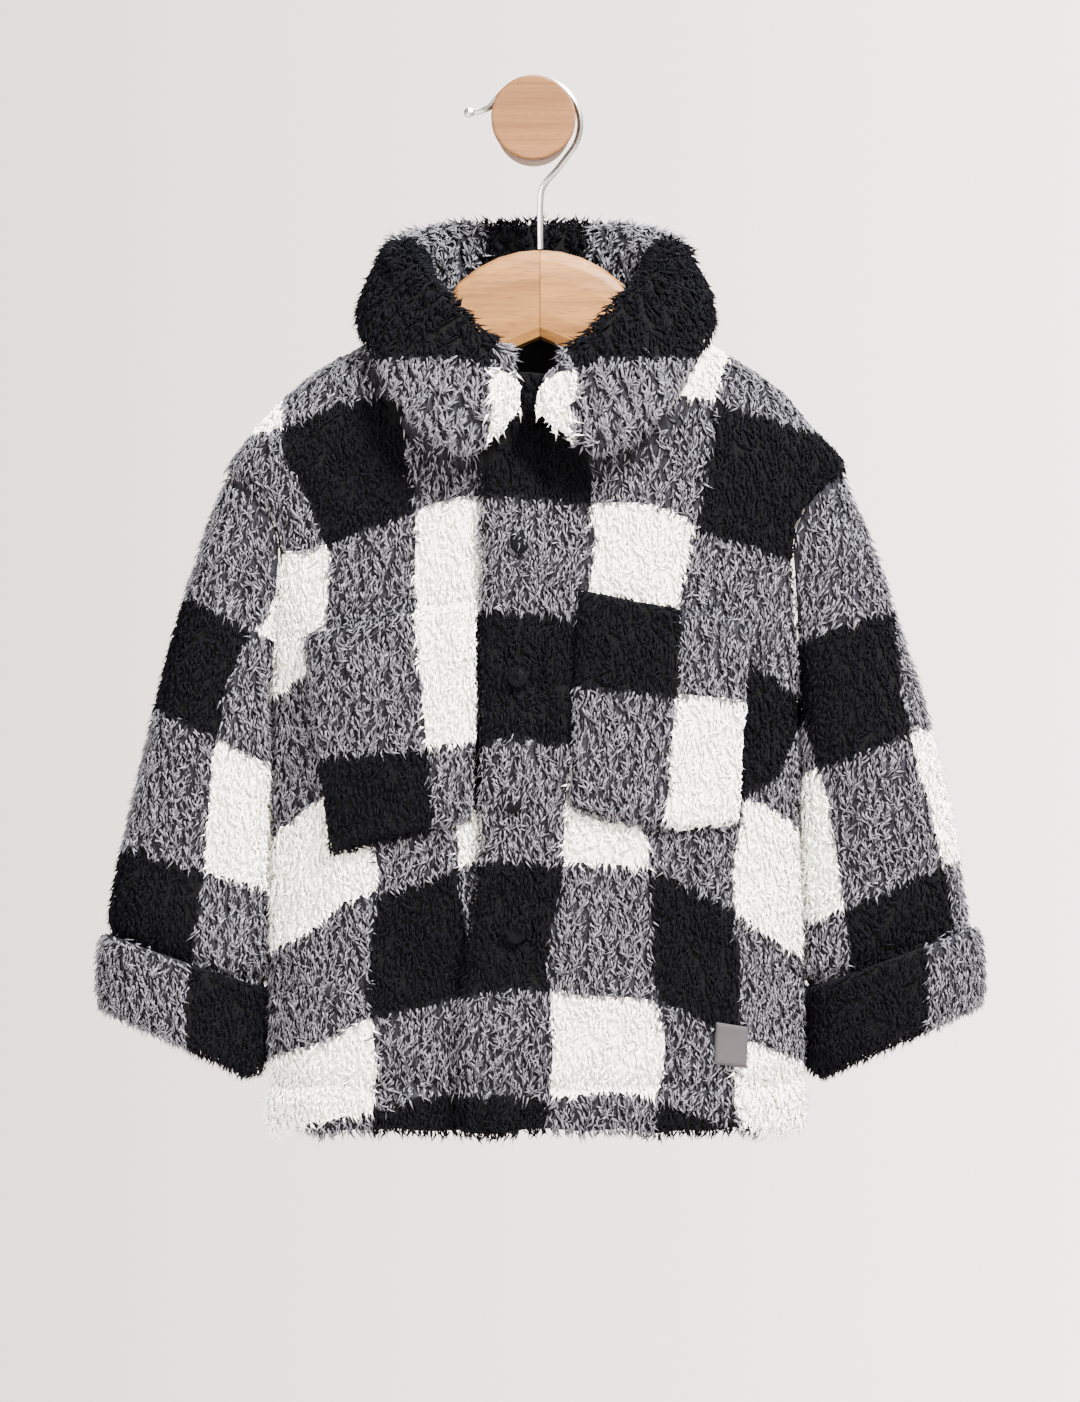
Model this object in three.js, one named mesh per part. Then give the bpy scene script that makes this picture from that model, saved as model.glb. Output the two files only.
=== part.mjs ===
import * as THREE from 'three';

// A child's pile fleece overshirt on a wooden hanger, hung from a round wooden wall peg.
// Millimetres. The origin is the middle of the peg's back face, where it meets the wall.
// +X is to the right for someone facing the jacket, -Y comes out of the wall, +Z is up.

// Driving dimensions
const HANGING_OUT = 54; // from the wall to the plane of the hook and hanger
const MIDDLE = 1.2; // centre line of the jacket, beside the peg's
const CLOTH = 7.5; // knitted backing with its pile standing
const COLLAR_CLOTH = 9; // upper and under collar sewn together
const SEAM = 0.3; // between two pieces that are sewn together
const LAID_ON = 0.6; // between a panel and what is sewn flat on it
const HEM_Z = -478; // lower edge of the body
const HEM_DEPTH = 23; // turned-up hem, to its row of stitching
const GROOVE = 2.4; // how far a row of stitching sinks into the pile
const GROOVE_WIDTH = 4;
const PLACKET = 28; // from the front's free edge to its row of stitching
const OVERLAP_LIFT = 3.6; // how far the upper front stands out at its free edge
const UNDERLAP = 34; // how far the lower front goes on behind the upper one
const LAP_GAP = 0.6; // between the two fronts there
const ROOF_Z = -130; // above this level the rows of points rise to the neckline
const NECK_POINT_Z = -98; // where shoulder seam and neckline meet
const FRONT_NECK_DROP = 24;
const BACK_NECK_DROP = 4;
const NECK_CURVE = 2.4; // keeps the neckline round: higher stays level for longer at the sides
const ARMPIT_Z = -270;
const SHOULDER_TIP_Z = -165;
const POCKET_CLOTH = 5.2;
const LABEL_CLOTH = 1;
const CUFF_LIFT = 6.8; // turned-up cuff, outside the sleeve
const CUFF_FOLD = 8.5; // and how far its fold reaches past the sleeve's end
const PEG = { shaft: 17.7, disc: 20, discThick: 12, discBack: 58, round: 1.2 };
const WIRE = { radius: 1.5, ring: 21.5, ringX: 0.7, ringZ: -2, shankX: 3.3, ball: 2.6 };
const HANGER = { x: 3.1, thick: 12, top: -61.7, power: 3.2 };

// The body, from hem to neck, as one level ring to a row: half its width, and its depth
// in front of and behind the hanger's plane.
const BODY = [
  { z: -478, half: 127.2, front: 46, back: 37, power: 2.3 },
  { z: -455, half: 126.4, front: 47.5, back: 38, power: 2.3 },
  { z: -400, half: 125, front: 48, back: 38.5, power: 2.35 },
  { z: -330, half: 124, front: 48.5, back: 39, power: 2.4 },
  { z: -270, half: 124.5, front: 48, back: 38.5, power: 2.4 },
  { z: -240, half: 127, front: 47, back: 38, power: 2.4 },
  { z: -218, half: 129.5, front: 46, back: 37.5, power: 2.35 },
  { z: -202, half: 132.5, front: 45, back: 37, power: 2.3 },
  { z: -190, half: 136, front: 44.5, back: 36.5, power: 2.3 },
  { z: -177, half: 141, front: 43.5, back: 36, power: 2.3 },
  { z: -165, half: 145.2, front: 42.5, back: 35.5, power: 2.25 },
  { z: -148, half: 133.5, front: 42, back: 34.5, power: 2.2 },
  { z: -129, half: 116.5, front: 40.5, back: 33, power: 2.15 },
  { z: -115, half: 97, front: 39, back: 31, power: 2.1 },
  { z: -103.5, half: 76, front: 37, back: 29, power: 2.05 },
  { z: -98, half: 63, front: 36, back: 28, power: 2 },
];

// Levels of the rows of points below the armpit and above the shoulder tip
const LOWER_LEVELS = [HEM_Z, -474, -466, -459, -455, -451, -443, -415, -380, -345, -310, -285];
const UPPER_LEVELS = [-156, -146, -137, ROOF_Z];
const ROOF_STEPS = [0.28, 0.55, 0.8, 1];

// The armhole, from armpit to shoulder tip: how far round from the side of the ring
// at that level the front and the back are cut away, in degrees.
const ARMHOLE = [
  { z: ARMPIT_Z, front: 0, back: 0 },
  { z: -264, front: 6, back: 6 },
  { z: -256, front: 10, back: 9.5 },
  { z: -246, front: 14, back: 13 },
  { z: -234, front: 18, back: 16.5 },
  { z: -220, front: 22, back: 20 },
  { z: -206, front: 25.5, back: 23 },
  { z: -194, front: 26.5, back: 24 },
  { z: -184, front: 24.5, back: 22.5 },
  { z: -176, front: 20, back: 19 },
  { z: -170, front: 13, back: 12.5 },
  { z: SHOULDER_TIP_Z, front: 0, back: 0 },
];

// The free edge of the upper front, from the jacket's centre line
const FREE_EDGE = [
  { z: -478, x: -35 },
  { z: -416, x: -34 },
  { z: -385, x: -29.5 },
  { z: -350, x: -25.5 },
  { z: -300, x: -24.4 },
  { z: -98, x: -24.4 },
];

// Soft folds of the body that run down to the hem, from their top: negative depths are
// troughs. The side is 1 in front and -1 behind.
const FOLDS = [
  { side: 1, x: -62, top: -330, slope: 0.1, width: 13, depth: -3.6 },
  { side: 1, x: -92, top: -350, slope: -0.05, width: 15, depth: 2.6 },
  { side: 1, x: 58, top: -345, slope: -0.06, width: 14, depth: -3.4 },
  { side: 1, x: 92, top: -330, slope: 0.06, width: 14, depth: 2.4 },
  { side: -1, x: -78, top: -250, slope: -0.08, width: 16, depth: -4.2 },
  { side: -1, x: -34, top: -300, slope: 0.04, width: 17, depth: 3 },
  { side: -1, x: 12, top: -280, slope: -0.03, width: 15, depth: -3.2 },
  { side: -1, x: 70, top: -230, slope: 0.1, width: 17, depth: -4.4 },
];

// Each sleeve, ring by ring from the armhole: its outer and its inner point seen from
// the front, from the jacket's centre line, the middle of its depth and half its depth.
const SLEEVE_RIGHT = [
  { outX: 150, outZ: -178, inX: 128, inZ: -279, mid: -1.5, depth: 24.5 },
  { outX: 155.4, outZ: -192, inX: 127, inZ: -292, mid: -1, depth: 26.5 },
  { outX: 162, outZ: -212, inX: 126.2, inZ: -309, mid: -0.5, depth: 28 },
  { outX: 170, outZ: -239, inX: 125.8, inZ: -329, mid: 0, depth: 28.5 },
  { outX: 178.4, outZ: -271, inX: 125.8, inZ: -349, mid: 0.5, depth: 28.5 },
  { outX: 186.4, outZ: -303, inX: 126, inZ: -368, mid: 1, depth: 28 },
  { outX: 193.6, outZ: -335, inX: 126.4, inZ: -385, mid: 1, depth: 27.5 },
  { outX: 200, outZ: -362, inX: 126.8, inZ: -398, mid: 1, depth: 27 },
  { outX: 202, outZ: -377, inX: 127.6, inZ: -405, mid: 1, depth: 26.5 },
  { outX: 200, outZ: -387, inX: 132, inZ: -411, mid: 1, depth: 24.5 },
  { outX: 200.4, outZ: -401, inX: 134.2, inZ: -428, mid: 1, depth: 24 },
  { outX: 201.4, outZ: -414, inX: 134.4, inZ: -444, mid: 1, depth: 24 },
];
const SLEEVE_LEFT = [
  { outX: 149.6, outZ: -178, inX: 128, inZ: -279, mid: -1.5, depth: 24.5 },
  { outX: 155.6, outZ: -192, inX: 127, inZ: -292, mid: -1, depth: 26.5 },
  { outX: 163.4, outZ: -212, inX: 126.2, inZ: -309, mid: -0.5, depth: 28 },
  { outX: 171.6, outZ: -239, inX: 125.8, inZ: -329, mid: 0, depth: 28.5 },
  { outX: 182, outZ: -271, inX: 125.8, inZ: -349, mid: 0.5, depth: 28.5 },
  { outX: 190.6, outZ: -303, inX: 126, inZ: -368, mid: 1, depth: 28 },
  { outX: 197.8, outZ: -335, inX: 126.4, inZ: -385, mid: 1, depth: 27.5 },
  { outX: 201.4, outZ: -360, inX: 126.8, inZ: -398, mid: 1, depth: 27 },
  { outX: 204, outZ: -373, inX: 127.6, inZ: -405, mid: 1, depth: 26.5 },
  { outX: 203.4, outZ: -384, inX: 132, inZ: -411, mid: 1, depth: 24.5 },
  { outX: 204.6, outZ: -399, inX: 134.2, inZ: -428, mid: 1, depth: 24 },
  { outX: 205.8, outZ: -412.5, inX: 134.4, inZ: -444, mid: 1, depth: 24 },
];
const SLEEVE_POWER = 2.2;
const ARMHOLE_FADE = [1, 0.62, 0.3, 0.1]; // how much of the armhole's shape a ring keeps
const CUFF_RINGS = 3; // the last rings of the sleeve are inside the cuff

// The collar, from the middle of the back to its front end: the crown of its roll, its
// free edge, half the gap between stand and fall, and how far the middle of the fall
// swings towards the centre line. The first column is how far round the neckline it is,
// from the middle of the back.
const COLLAR = [
  { turn: 0, rollX: 0, rollY: 31, rollZ: -50.5, edgeX: 0, edgeY: 44, edgeZ: -103, gap: 7, swing: 0 },
  { turn: 28, rollX: 28, rollY: 29, rollZ: -51, edgeX: 31, edgeY: 42, edgeZ: -104, gap: 7, swing: 0 },
  { turn: 58, rollX: 50, rollY: 20, rollZ: -54, edgeX: 62, edgeY: 31, edgeZ: -102, gap: 7, swing: 0 },
  { turn: 86, rollX: 63, rollY: 3, rollZ: -61, edgeX: 78, edgeY: 9, edgeZ: -95, gap: 7, swing: 0 },
  { turn: 108, rollX: 60, rollY: -17, rollZ: -70, edgeX: 79.5, edgeY: -17, edgeZ: -101.5, gap: 7, swing: 0 },
  { turn: 128, rollX: 51, rollY: -34, rollZ: -81, edgeX: 72, edgeY: -37, edgeZ: -118, gap: 6.5, swing: 0 },
  { turn: 146, rollX: 40, rollY: -45, rollZ: -93, edgeX: 61, edgeY: -50, edgeZ: -138, gap: 5.5, swing: 0 },
  { turn: 160, rollX: 26, rollY: -50, rollZ: -108, edgeX: 46, edgeY: -54, edgeZ: -153, gap: 4, swing: 3 },
  { turn: 172, rollX: 12, rollY: -51, rollZ: -117, edgeX: 30, edgeY: -54.5, edgeZ: -160, gap: 3, swing: 12 },
];

// Patch pockets, by their corners seen from the front, from the jacket's centre line
const POCKETS = {
  pocket_right: {
    top: [[-108.6, -244.5], [-56.9, -233.7], [-28.5, -229]],
    bottom: [[-95.4, -346.5], [-60, -338], [-30.5, -330]],
  },
  pocket_left: {
    top: [[20.7, -223.4], [67.7, -232.8], [99.6, -237.5]],
    bottom: [[16, -324.4], [53.6, -333.8], [93.5, -331.5]],
  },
};
const LABEL = {
  top: [[84.4, -425.8], [91.4, -427], [98.4, -428.2]],
  bottom: [[83.4, -445.4], [90.4, -446.4], [97.4, -447.4]],
};

// Press studs down the placket, from the jacket's centre line
const STUD = { radius: 4.6, height: 2.6 };
const STUDS = [
  { x: -7.5, z: -202.2 },
  { x: -8.5, z: -264.7 },
  { x: -11.3, z: -323.5 },
  { x: -9.5, z: -384.1 },
];

// The wooden hanger's outline, from its middle to the tip of one arm
const HANGER_ARM = [
  { x: 0, top: 0, bottom: -42.3, thick: 1 },
  { x: 10, top: -0.9, bottom: -46.8, thick: 1 },
  { x: 20, top: -3.7, bottom: -51.3, thick: 1 },
  { x: 30, top: -8.8, bottom: -55.8, thick: 1 },
  { x: 39, top: -15.9, bottom: -59.8, thick: 1 },
  { x: 46, top: -26.4, bottom: -62.8, thick: 1 },
  { x: 52, top: -38.4, bottom: -65.4, thick: 0.98 },
  { x: 59, top: -47.6, bottom: -68.4, thick: 0.95 },
  { x: 75, top: -53.6, bottom: -75.4, thick: 0.85 },
  { x: 95, top: -65.8, bottom: -84, thick: 0.72 },
  { x: 110, top: -76.6, bottom: -91, thick: 0.64 },
  { x: 118, top: -84, bottom: -95, thick: 0.6 },
];

const MARL = 0x8b8990;
const BLACK = 0x1d1e22;
const BEECH = 0xd8b48c;
const STEEL = 0xb4b3b2;
const LABEL_GREY = 0x8f8387;

const radians = THREE.MathUtils.degToRad;
const lerp = THREE.MathUtils.lerp;

// A smooth value between the rows of a table, with no overshoot
function valueAt(table, key, column, at) {
  const rows = [...table].sort((a, b) => a[key] - b[key]);
  const last = rows.length - 1;
  const clamped = Math.min(Math.max(at, rows[0][key]), rows[last][key]);
  let i = 0;
  while (i < last - 1 && clamped > rows[i + 1][key]) i += 1;
  const slope = (n) => (rows[n + 1][column] - rows[n][column]) / (rows[n + 1][key] - rows[n][key]);
  const tangent = (n) => {
    if (n === 0) return slope(0);
    if (n === last) return slope(last - 1);
    const before = slope(n - 1);
    const after = slope(n);
    return before * after <= 0 ? 0 : (2 * before * after) / (before + after);
  };
  const span = rows[i + 1][key] - rows[i][key];
  const t = (clamped - rows[i][key]) / span;
  const ease = t * t * (3 - 2 * t);
  const start = rows[i][column] * (1 - ease) + rows[i + 1][column] * ease;
  const leave = tangent(i) * span * t * (1 - t) * (1 - t);
  const arrive = tangent(i + 1) * span * t * t * (t - 1);
  return start + leave + arrive;
}

function bump(distance, width) {
  return Math.exp(-((distance / width) ** 2));
}

function smooth(from, to, at) {
  return THREE.MathUtils.smoothstep(at, from, to);
}

function signedPower(value, power) {
  return Math.sign(value) * Math.abs(value) ** power;
}

// Closed solid between two grids of points. A ring's columns go all the way round.
function wall(outer, inner, ring) {
  const rows = outer.length;
  const columns = outer[0].length;
  const spans = ring ? columns : columns - 1;
  const over = (r, c) => r * columns + (c % columns);
  const under = (r, c) => rows * columns + over(r, c);
  const index = [];
  const quad = (a, b, c, d) => index.push(a, b, c, a, c, d);
  for (let r = 0; r < rows - 1; r += 1) {
    for (let c = 0; c < spans; c += 1) {
      quad(over(r, c), over(r, c + 1), over(r + 1, c + 1), over(r + 1, c));
      quad(under(r, c), under(r + 1, c), under(r + 1, c + 1), under(r, c + 1));
    }
  }
  for (let c = 0; c < spans; c += 1) {
    quad(over(0, c), under(0, c), under(0, c + 1), over(0, c + 1));
    quad(over(rows - 1, c), over(rows - 1, c + 1), under(rows - 1, c + 1), under(rows - 1, c));
  }
  if (!ring) {
    const end = columns - 1;
    for (let r = 0; r < rows - 1; r += 1) {
      quad(over(r, 0), over(r + 1, 0), under(r + 1, 0), under(r, 0));
      quad(over(r, end), under(r, end), under(r + 1, end), over(r + 1, end));
    }
  }
  return solid([...outer.flat(), ...inner.flat()], index);
}

// Closed solid whose section, a closed loop of rows, goes round a closed loop of columns
function ringOfSections(grid) {
  const rows = grid.length;
  const columns = grid[0].length;
  const at = (r, c) => (r % rows) * columns + (c % columns);
  const index = [];
  for (let r = 0; r < rows; r += 1) {
    for (let c = 0; c < columns; c += 1) {
      index.push(at(r, c), at(r, c + 1), at(r + 1, c + 1));
      index.push(at(r, c), at(r + 1, c + 1), at(r + 1, c));
    }
  }
  return solid(grid.flat(), index);
}

// Closed solid along a row of rings, with a flat end at each
function rod(rings) {
  const sides = rings[0].length;
  const at = (r, c) => r * sides + (c % sides);
  const last = rings.length - 1;
  const middle = (ring) => ring.reduce((sum, p) => sum.add(p), new THREE.Vector3()).divideScalar(sides);
  const points = [...rings.flat(), middle(rings[0]), middle(rings[last])];
  const index = [];
  for (let r = 0; r < last; r += 1) {
    for (let c = 0; c < sides; c += 1) {
      index.push(at(r, c), at(r, c + 1), at(r + 1, c + 1));
      index.push(at(r, c), at(r + 1, c + 1), at(r + 1, c));
    }
  }
  for (let c = 0; c < sides; c += 1) {
    index.push(points.length - 2, at(0, c + 1), at(0, c));
    index.push(points.length - 1, at(last, c), at(last, c + 1));
  }
  return solid(points, index);
}

// Geometry from points and triangles, turned so that its faces point outwards
function solid(points, index) {
  let volume = 0;
  for (let i = 0; i < index.length; i += 3) {
    const [a, b, c] = [points[index[i]], points[index[i + 1]], points[index[i + 2]]];
    volume += a.dot(new THREE.Vector3().crossVectors(b, c));
  }
  if (volume < 0) index.reverse();
  const geometry = new THREE.BufferGeometry();
  geometry.setAttribute('position', new THREE.Float32BufferAttribute(points.flatMap((p) => p.toArray()), 3));
  geometry.setIndex(index);
  geometry.computeVertexNormals();
  return geometry;
}

// Unit normals of a grid of points
function gridNormals(grid, ring) {
  const rows = grid.length;
  const columns = grid[0].length;
  return grid.map((row, r) => row.map((point, c) => {
    const before = ring ? (c + columns - 1) % columns : Math.max(c - 1, 0);
    const after = ring ? (c + 1) % columns : Math.min(c + 1, columns - 1);
    const across = new THREE.Vector3().subVectors(row[after], row[before]);
    const along = new THREE.Vector3().subVectors(
      grid[Math.min(r + 1, rows - 1)][c],
      grid[Math.max(r - 1, 0)][c],
    );
    return across.cross(along).normalize();
  }));
}

// Body

// A point of the body's outside. The angle is 0 at the left side seam, 90 at the middle
// of the front, 180 at the right side seam and 270 at the middle of the back.
function bodyPoint(angle, z) {
  const power = 2 / valueAt(BODY, 'z', 'power', z);
  const turn = radians(angle);
  const depth = valueAt(BODY, 'z', Math.sin(turn) >= 0 ? 'front' : 'back', z);
  const x = valueAt(BODY, 'z', 'half', z) * signedPower(Math.cos(turn), power);
  return new THREE.Vector3(MIDDLE + x, -depth * signedPower(Math.sin(turn), power), z);
}

function bodyNormal(angle, z) {
  const step = 0.4;
  const round = bodyPoint(angle + step, z).sub(bodyPoint(angle - step, z));
  const up = bodyPoint(angle, z + step).sub(bodyPoint(angle, z - step));
  return up.cross(round).normalize();
}

// The angle at which a front or back has the given distance from the centre line
function angleAt(x, z, side = 1) {
  const power = valueAt(BODY, 'z', 'power', z) / 2;
  const part = THREE.MathUtils.clamp(x / valueAt(BODY, 'z', 'half', z), -1, 1);
  return side * THREE.MathUtils.radToDeg(Math.acos(signedPower(part, power)));
}

function neckZ(angle) {
  const sine = Math.sin(radians(angle));
  const drop = sine >= 0 ? FRONT_NECK_DROP : BACK_NECK_DROP;
  return NECK_POINT_Z - drop * Math.abs(sine) ** NECK_CURVE;
}

function freeEdge(z) {
  return valueAt(FREE_EDGE, 'z', 'x', z);
}

// How far the cloth stands out from the plain ring: folds, and the lap of the two fronts.
// The layer is 'upper', 'lower' or 'back'.
function relief(point, layer) {
  const x = point.x - MIDDLE;
  const side = layer === 'back' ? -1 : 1;
  let lift = 0;
  for (const fold of FOLDS) {
    if (fold.side === side) {
      const run = fold.top - point.z;
      const fade = smooth(0, 90, run);
      lift += fold.depth * fade * bump(x - fold.x - fold.slope * run, fold.width);
    }
  }
  const fromEdge = x - freeEdge(point.z);
  const lap = OVERLAP_LIFT * (1 - smooth(PLACKET * 0.6, PLACKET * 1.5, fromEdge));
  if (layer === 'upper') lift += lap;
  if (layer === 'lower') lift += (lap - CLOTH - LAP_GAP) * smooth(-16, -2, fromEdge);
  return lift;
}

// How far stitching and turned edges pull the pile in, on the outside alone
function stitching(point, layer) {
  let sunk = bump(point.z - (HEM_Z + HEM_DEPTH), GROOVE_WIDTH) + bump(point.z - HEM_Z, GROOVE_WIDTH);
  const fromEdge = point.x - MIDDLE - freeEdge(point.z);
  if (layer === 'upper') sunk += bump(fromEdge - PLACKET, GROOVE_WIDTH) + bump(fromEdge, GROOVE_WIDTH * 0.6);
  return -GROOVE * Math.min(sunk, 1.2);
}

// A point of a panel's outside, moved out by lift
function panelPoint(angle, z, layer, lift = 0) {
  const plain = bodyPoint(angle, z);
  const out = relief(plain, layer) + stitching(plain, layer) + lift;
  return plain.addScaledVector(bodyNormal(angle, z), out);
}

// A point of a panel's inside
function liningPoint(angle, z, layer) {
  const plain = bodyPoint(angle, z);
  return plain.addScaledVector(bodyNormal(angle, z), relief(plain, layer) - CLOTH);
}

// The level of each row of points at an angle, from hem to neckline
function levelsAt(angle) {
  const roof = ROOF_STEPS.map((part) => lerp(ROOF_Z, neckZ(angle), part));
  return [...LOWER_LEVELS, ...ARMHOLE.map((row) => row.z), ...UPPER_LEVELS, ...roof];
}

const ARMHOLE_ROWS = ARMHOLE.map((_, i) => LOWER_LEVELS.length + i);

// How far from the side seam a panel is cut away in a row of points, in degrees
function armholeCut(row, column) {
  const place = ARMHOLE_ROWS.indexOf(row);
  return place < 0 ? 0 : ARMHOLE[place][column];
}

// A panel from its columns of angles, one list to a row. Points on a side seam move back
// by half of its gap.
function panel(anglesOfRow, layer) {
  const rows = levelsAt(0).length;
  const seam = layer === 'back' ? SEAM / 2 : -SEAM / 2;
  const surface = (pointAt) => Array.from({ length: rows }, (_, r) => anglesOfRow(r).map((angle) => {
    const point = pointAt(angle, levelsAt(angle)[r], layer);
    if (Math.abs(Math.sin(radians(angle))) < 1e-6) point.y += seam;
    return point;
  }));
  return wall(surface(panelPoint), surface(liningPoint), false);
}

// The upper front, the wearer's left: columns close together at its edge and stitching
const EDGE_COLUMNS = [0, 4, 14, 22, 28, 34, 42];
const SIDE_COLUMNS = [0.2, 0.4, 0.58, 0.74, 0.88, 1];

function upperFrontAngles(row) {
  const z = levelsAt(90)[row];
  const near = EDGE_COLUMNS.map((step) => angleAt(freeEdge(z) + step, z));
  const side = armholeCut(row, 'front');
  return [...near, ...SIDE_COLUMNS.map((part) => lerp(near.at(-1), side, part))];
}

// The lower front, the wearer's right, goes on behind the upper one
const LAP_COLUMNS = [UNDERLAP, 16, 2, -5, -14];

function lowerFrontAngles(row) {
  const z = levelsAt(90)[row];
  const near = LAP_COLUMNS.map((step) => angleAt(freeEdge(z) + step, z));
  const side = 180 - armholeCut(row, 'front');
  return [...near, ...SIDE_COLUMNS.map((part) => lerp(near.at(-1), side, part))];
}

const BACK_COLUMNS = 20;

function backAngles(row) {
  const cut = armholeCut(row, 'back');
  return Array.from({ length: BACK_COLUMNS + 1 }, (_, c) => lerp(180 + cut, 360 - cut, c / BACK_COLUMNS));
}

// Sleeves

// The armhole's edge as a loop: down the front from the shoulder tip, up the back.
// The side is 1 for the wearer's left and -1 for the right.
function armholeLoop(side) {
  const front = [...ARMHOLE].reverse().map((row) => ({ z: row.z, cut: row.front }));
  const back = ARMHOLE.slice(1, -1).map((row) => ({ z: row.z, cut: -row.back }));
  const places = [...front, ...back].map(({ z, cut }) => ({ z, angle: side > 0 ? cut : 180 - cut }));
  const points = places.map(({ z, angle }) => bodyPoint(angle, z));
  const opening = bodyPoint(side > 0 ? 0 : 180, lerp(ARMPIT_Z, SHOULDER_TIP_Z, 0.5));
  return points.map((point, i) => {
    const before = points[(i + points.length - 1) % points.length];
    const after = points[(i + 1) % points.length];
    const away = new THREE.Vector3().subVectors(after, before).cross(bodyNormal(places[i].angle, places[i].z));
    const toOpening = new THREE.Vector3().subVectors(opening, point);
    if (away.dot(toOpening) < 0) away.negate();
    return point.clone().addScaledVector(away.normalize(), SEAM + 0.1);
  });
}

// Rings of points down a sleeve, the first of them along the armhole
function sleeveRings(rows, side) {
  const loop = armholeLoop(side);
  const half = loop.length / 2;
  const along = [0];
  for (let i = 1; i < loop.length; i += 1) along.push(along[i - 1] + loop[i].distanceTo(loop[i - 1]));
  const girth = along.at(-1) + loop[0].distanceTo(loop.at(-1));
  const turnOf = (i) => (i <= half
    ? (Math.PI * along[i]) / along[half]
    : Math.PI * (1 + (along[i] - along[half]) / (girth - along[half])));

  const axisOf = (out, inside) => ({
    middle: new THREE.Vector3().addVectors(out, inside).multiplyScalar(0.5),
    reach: new THREE.Vector3().subVectors(out, inside).multiplyScalar(0.5),
  });
  const first = axisOf(loop[0], loop[half]);
  const front = new THREE.Vector3(0, -1, 0);
  const square = (reach) => new THREE.Vector3().crossVectors(reach, front).normalize();
  const shape = loop.map((point) => {
    const from = new THREE.Vector3().subVectors(point, first.middle);
    return {
      reach: from.dot(first.reach) / first.reach.lengthSq(),
      depth: from.dot(front),
      aside: from.dot(square(first.reach)),
    };
  });

  const rings = rows.map((row, k) => {
    const keep = ARMHOLE_FADE[k + 1] ?? 0;
    const out = new THREE.Vector3(MIDDLE + side * row.outX, row.mid, row.outZ);
    const inside = new THREE.Vector3(MIDDLE + side * row.inX, row.mid, row.inZ);
    const { middle, reach } = axisOf(out, inside);
    const normal = square(reach);
    return shape.map((own, i) => {
      const turn = turnOf(i);
      const roundReach = signedPower(Math.cos(turn), 2 / SLEEVE_POWER);
      const roundDepth = row.depth * signedPower(Math.sin(turn), 2 / SLEEVE_POWER);
      return middle.clone()
        .addScaledVector(reach, lerp(roundReach, own.reach, keep))
        .addScaledVector(front, lerp(roundDepth, own.depth, keep))
        .addScaledVector(normal, own.aside * keep);
    });
  });
  return [loop, ...rings];
}

function movedOut(grid, normals, lift) {
  return grid.map((row, r) => row.map((point, c) => point.clone().addScaledVector(normals[r][c], lift)));
}

// Normals of a sleeve's rings that point out of the sleeve
function sleeveNormals(rings, side) {
  const normals = gridNormals(rings, true);
  return side > 0 ? normals : normals.map((row) => row.map((n) => n.negate()));
}

function sleeve(rings, side) {
  return wall(rings, movedOut(rings, sleeveNormals(rings, side), -CLOTH), true);
}

// A turned-up cuff: outside the last rings of the sleeve, and folded under its end. Each
// row is a point of its section: the ring it stands on, how far out and how far past.
function cuff(rings, side) {
  const normals = sleeveNormals(rings, side);
  const end = rings.length - 1;
  const top = end - CUFF_RINGS + 1;
  const section = [
    { ring: top, lift: SEAM + 0.2, past: 0 },
    { ring: top, lift: CUFF_LIFT * 0.62, past: -1.6 },
    { ring: top, lift: CUFF_LIFT * 0.98, past: 2 },
    { ring: top + 1, lift: CUFF_LIFT * 1.12, past: 0 },
    { ring: end, lift: CUFF_LIFT, past: 0 },
    { ring: end, lift: CUFF_LIFT * 0.55, past: CUFF_FOLD * 0.78 },
    { ring: end, lift: -CLOTH * 0.35, past: CUFF_FOLD },
    { ring: end, lift: -CLOTH * 0.85, past: CUFF_FOLD * 0.7 },
    { ring: end, lift: -CLOTH, past: SEAM + 0.2 },
    { ring: end, lift: SEAM + 0.2, past: SEAM + 0.2 },
    { ring: top + 1, lift: SEAM + 0.2, past: 0 },
  ];
  return ringOfSections(section.map(({ ring, lift, past }) => rings[ring].map((point, c) => {
    const down = new THREE.Vector3().subVectors(rings[end][c], rings[end - 1][c]).normalize();
    return point.clone().addScaledVector(normals[ring][c], lift).addScaledVector(down, past);
  })));
}

// Collar

const COLLAR_STATIONS = 15; // from the middle of the back to one front end
const COLLAR_END = COLLAR.at(-1).turn;
const FALL_STEPS = [0.25, 0.5, 0.75, 0.92, 1];
const FALL_BULGE = 3;
const LEFT_SWING = 1.65; // times the right leaf's swing: the left one reaches further over

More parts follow.
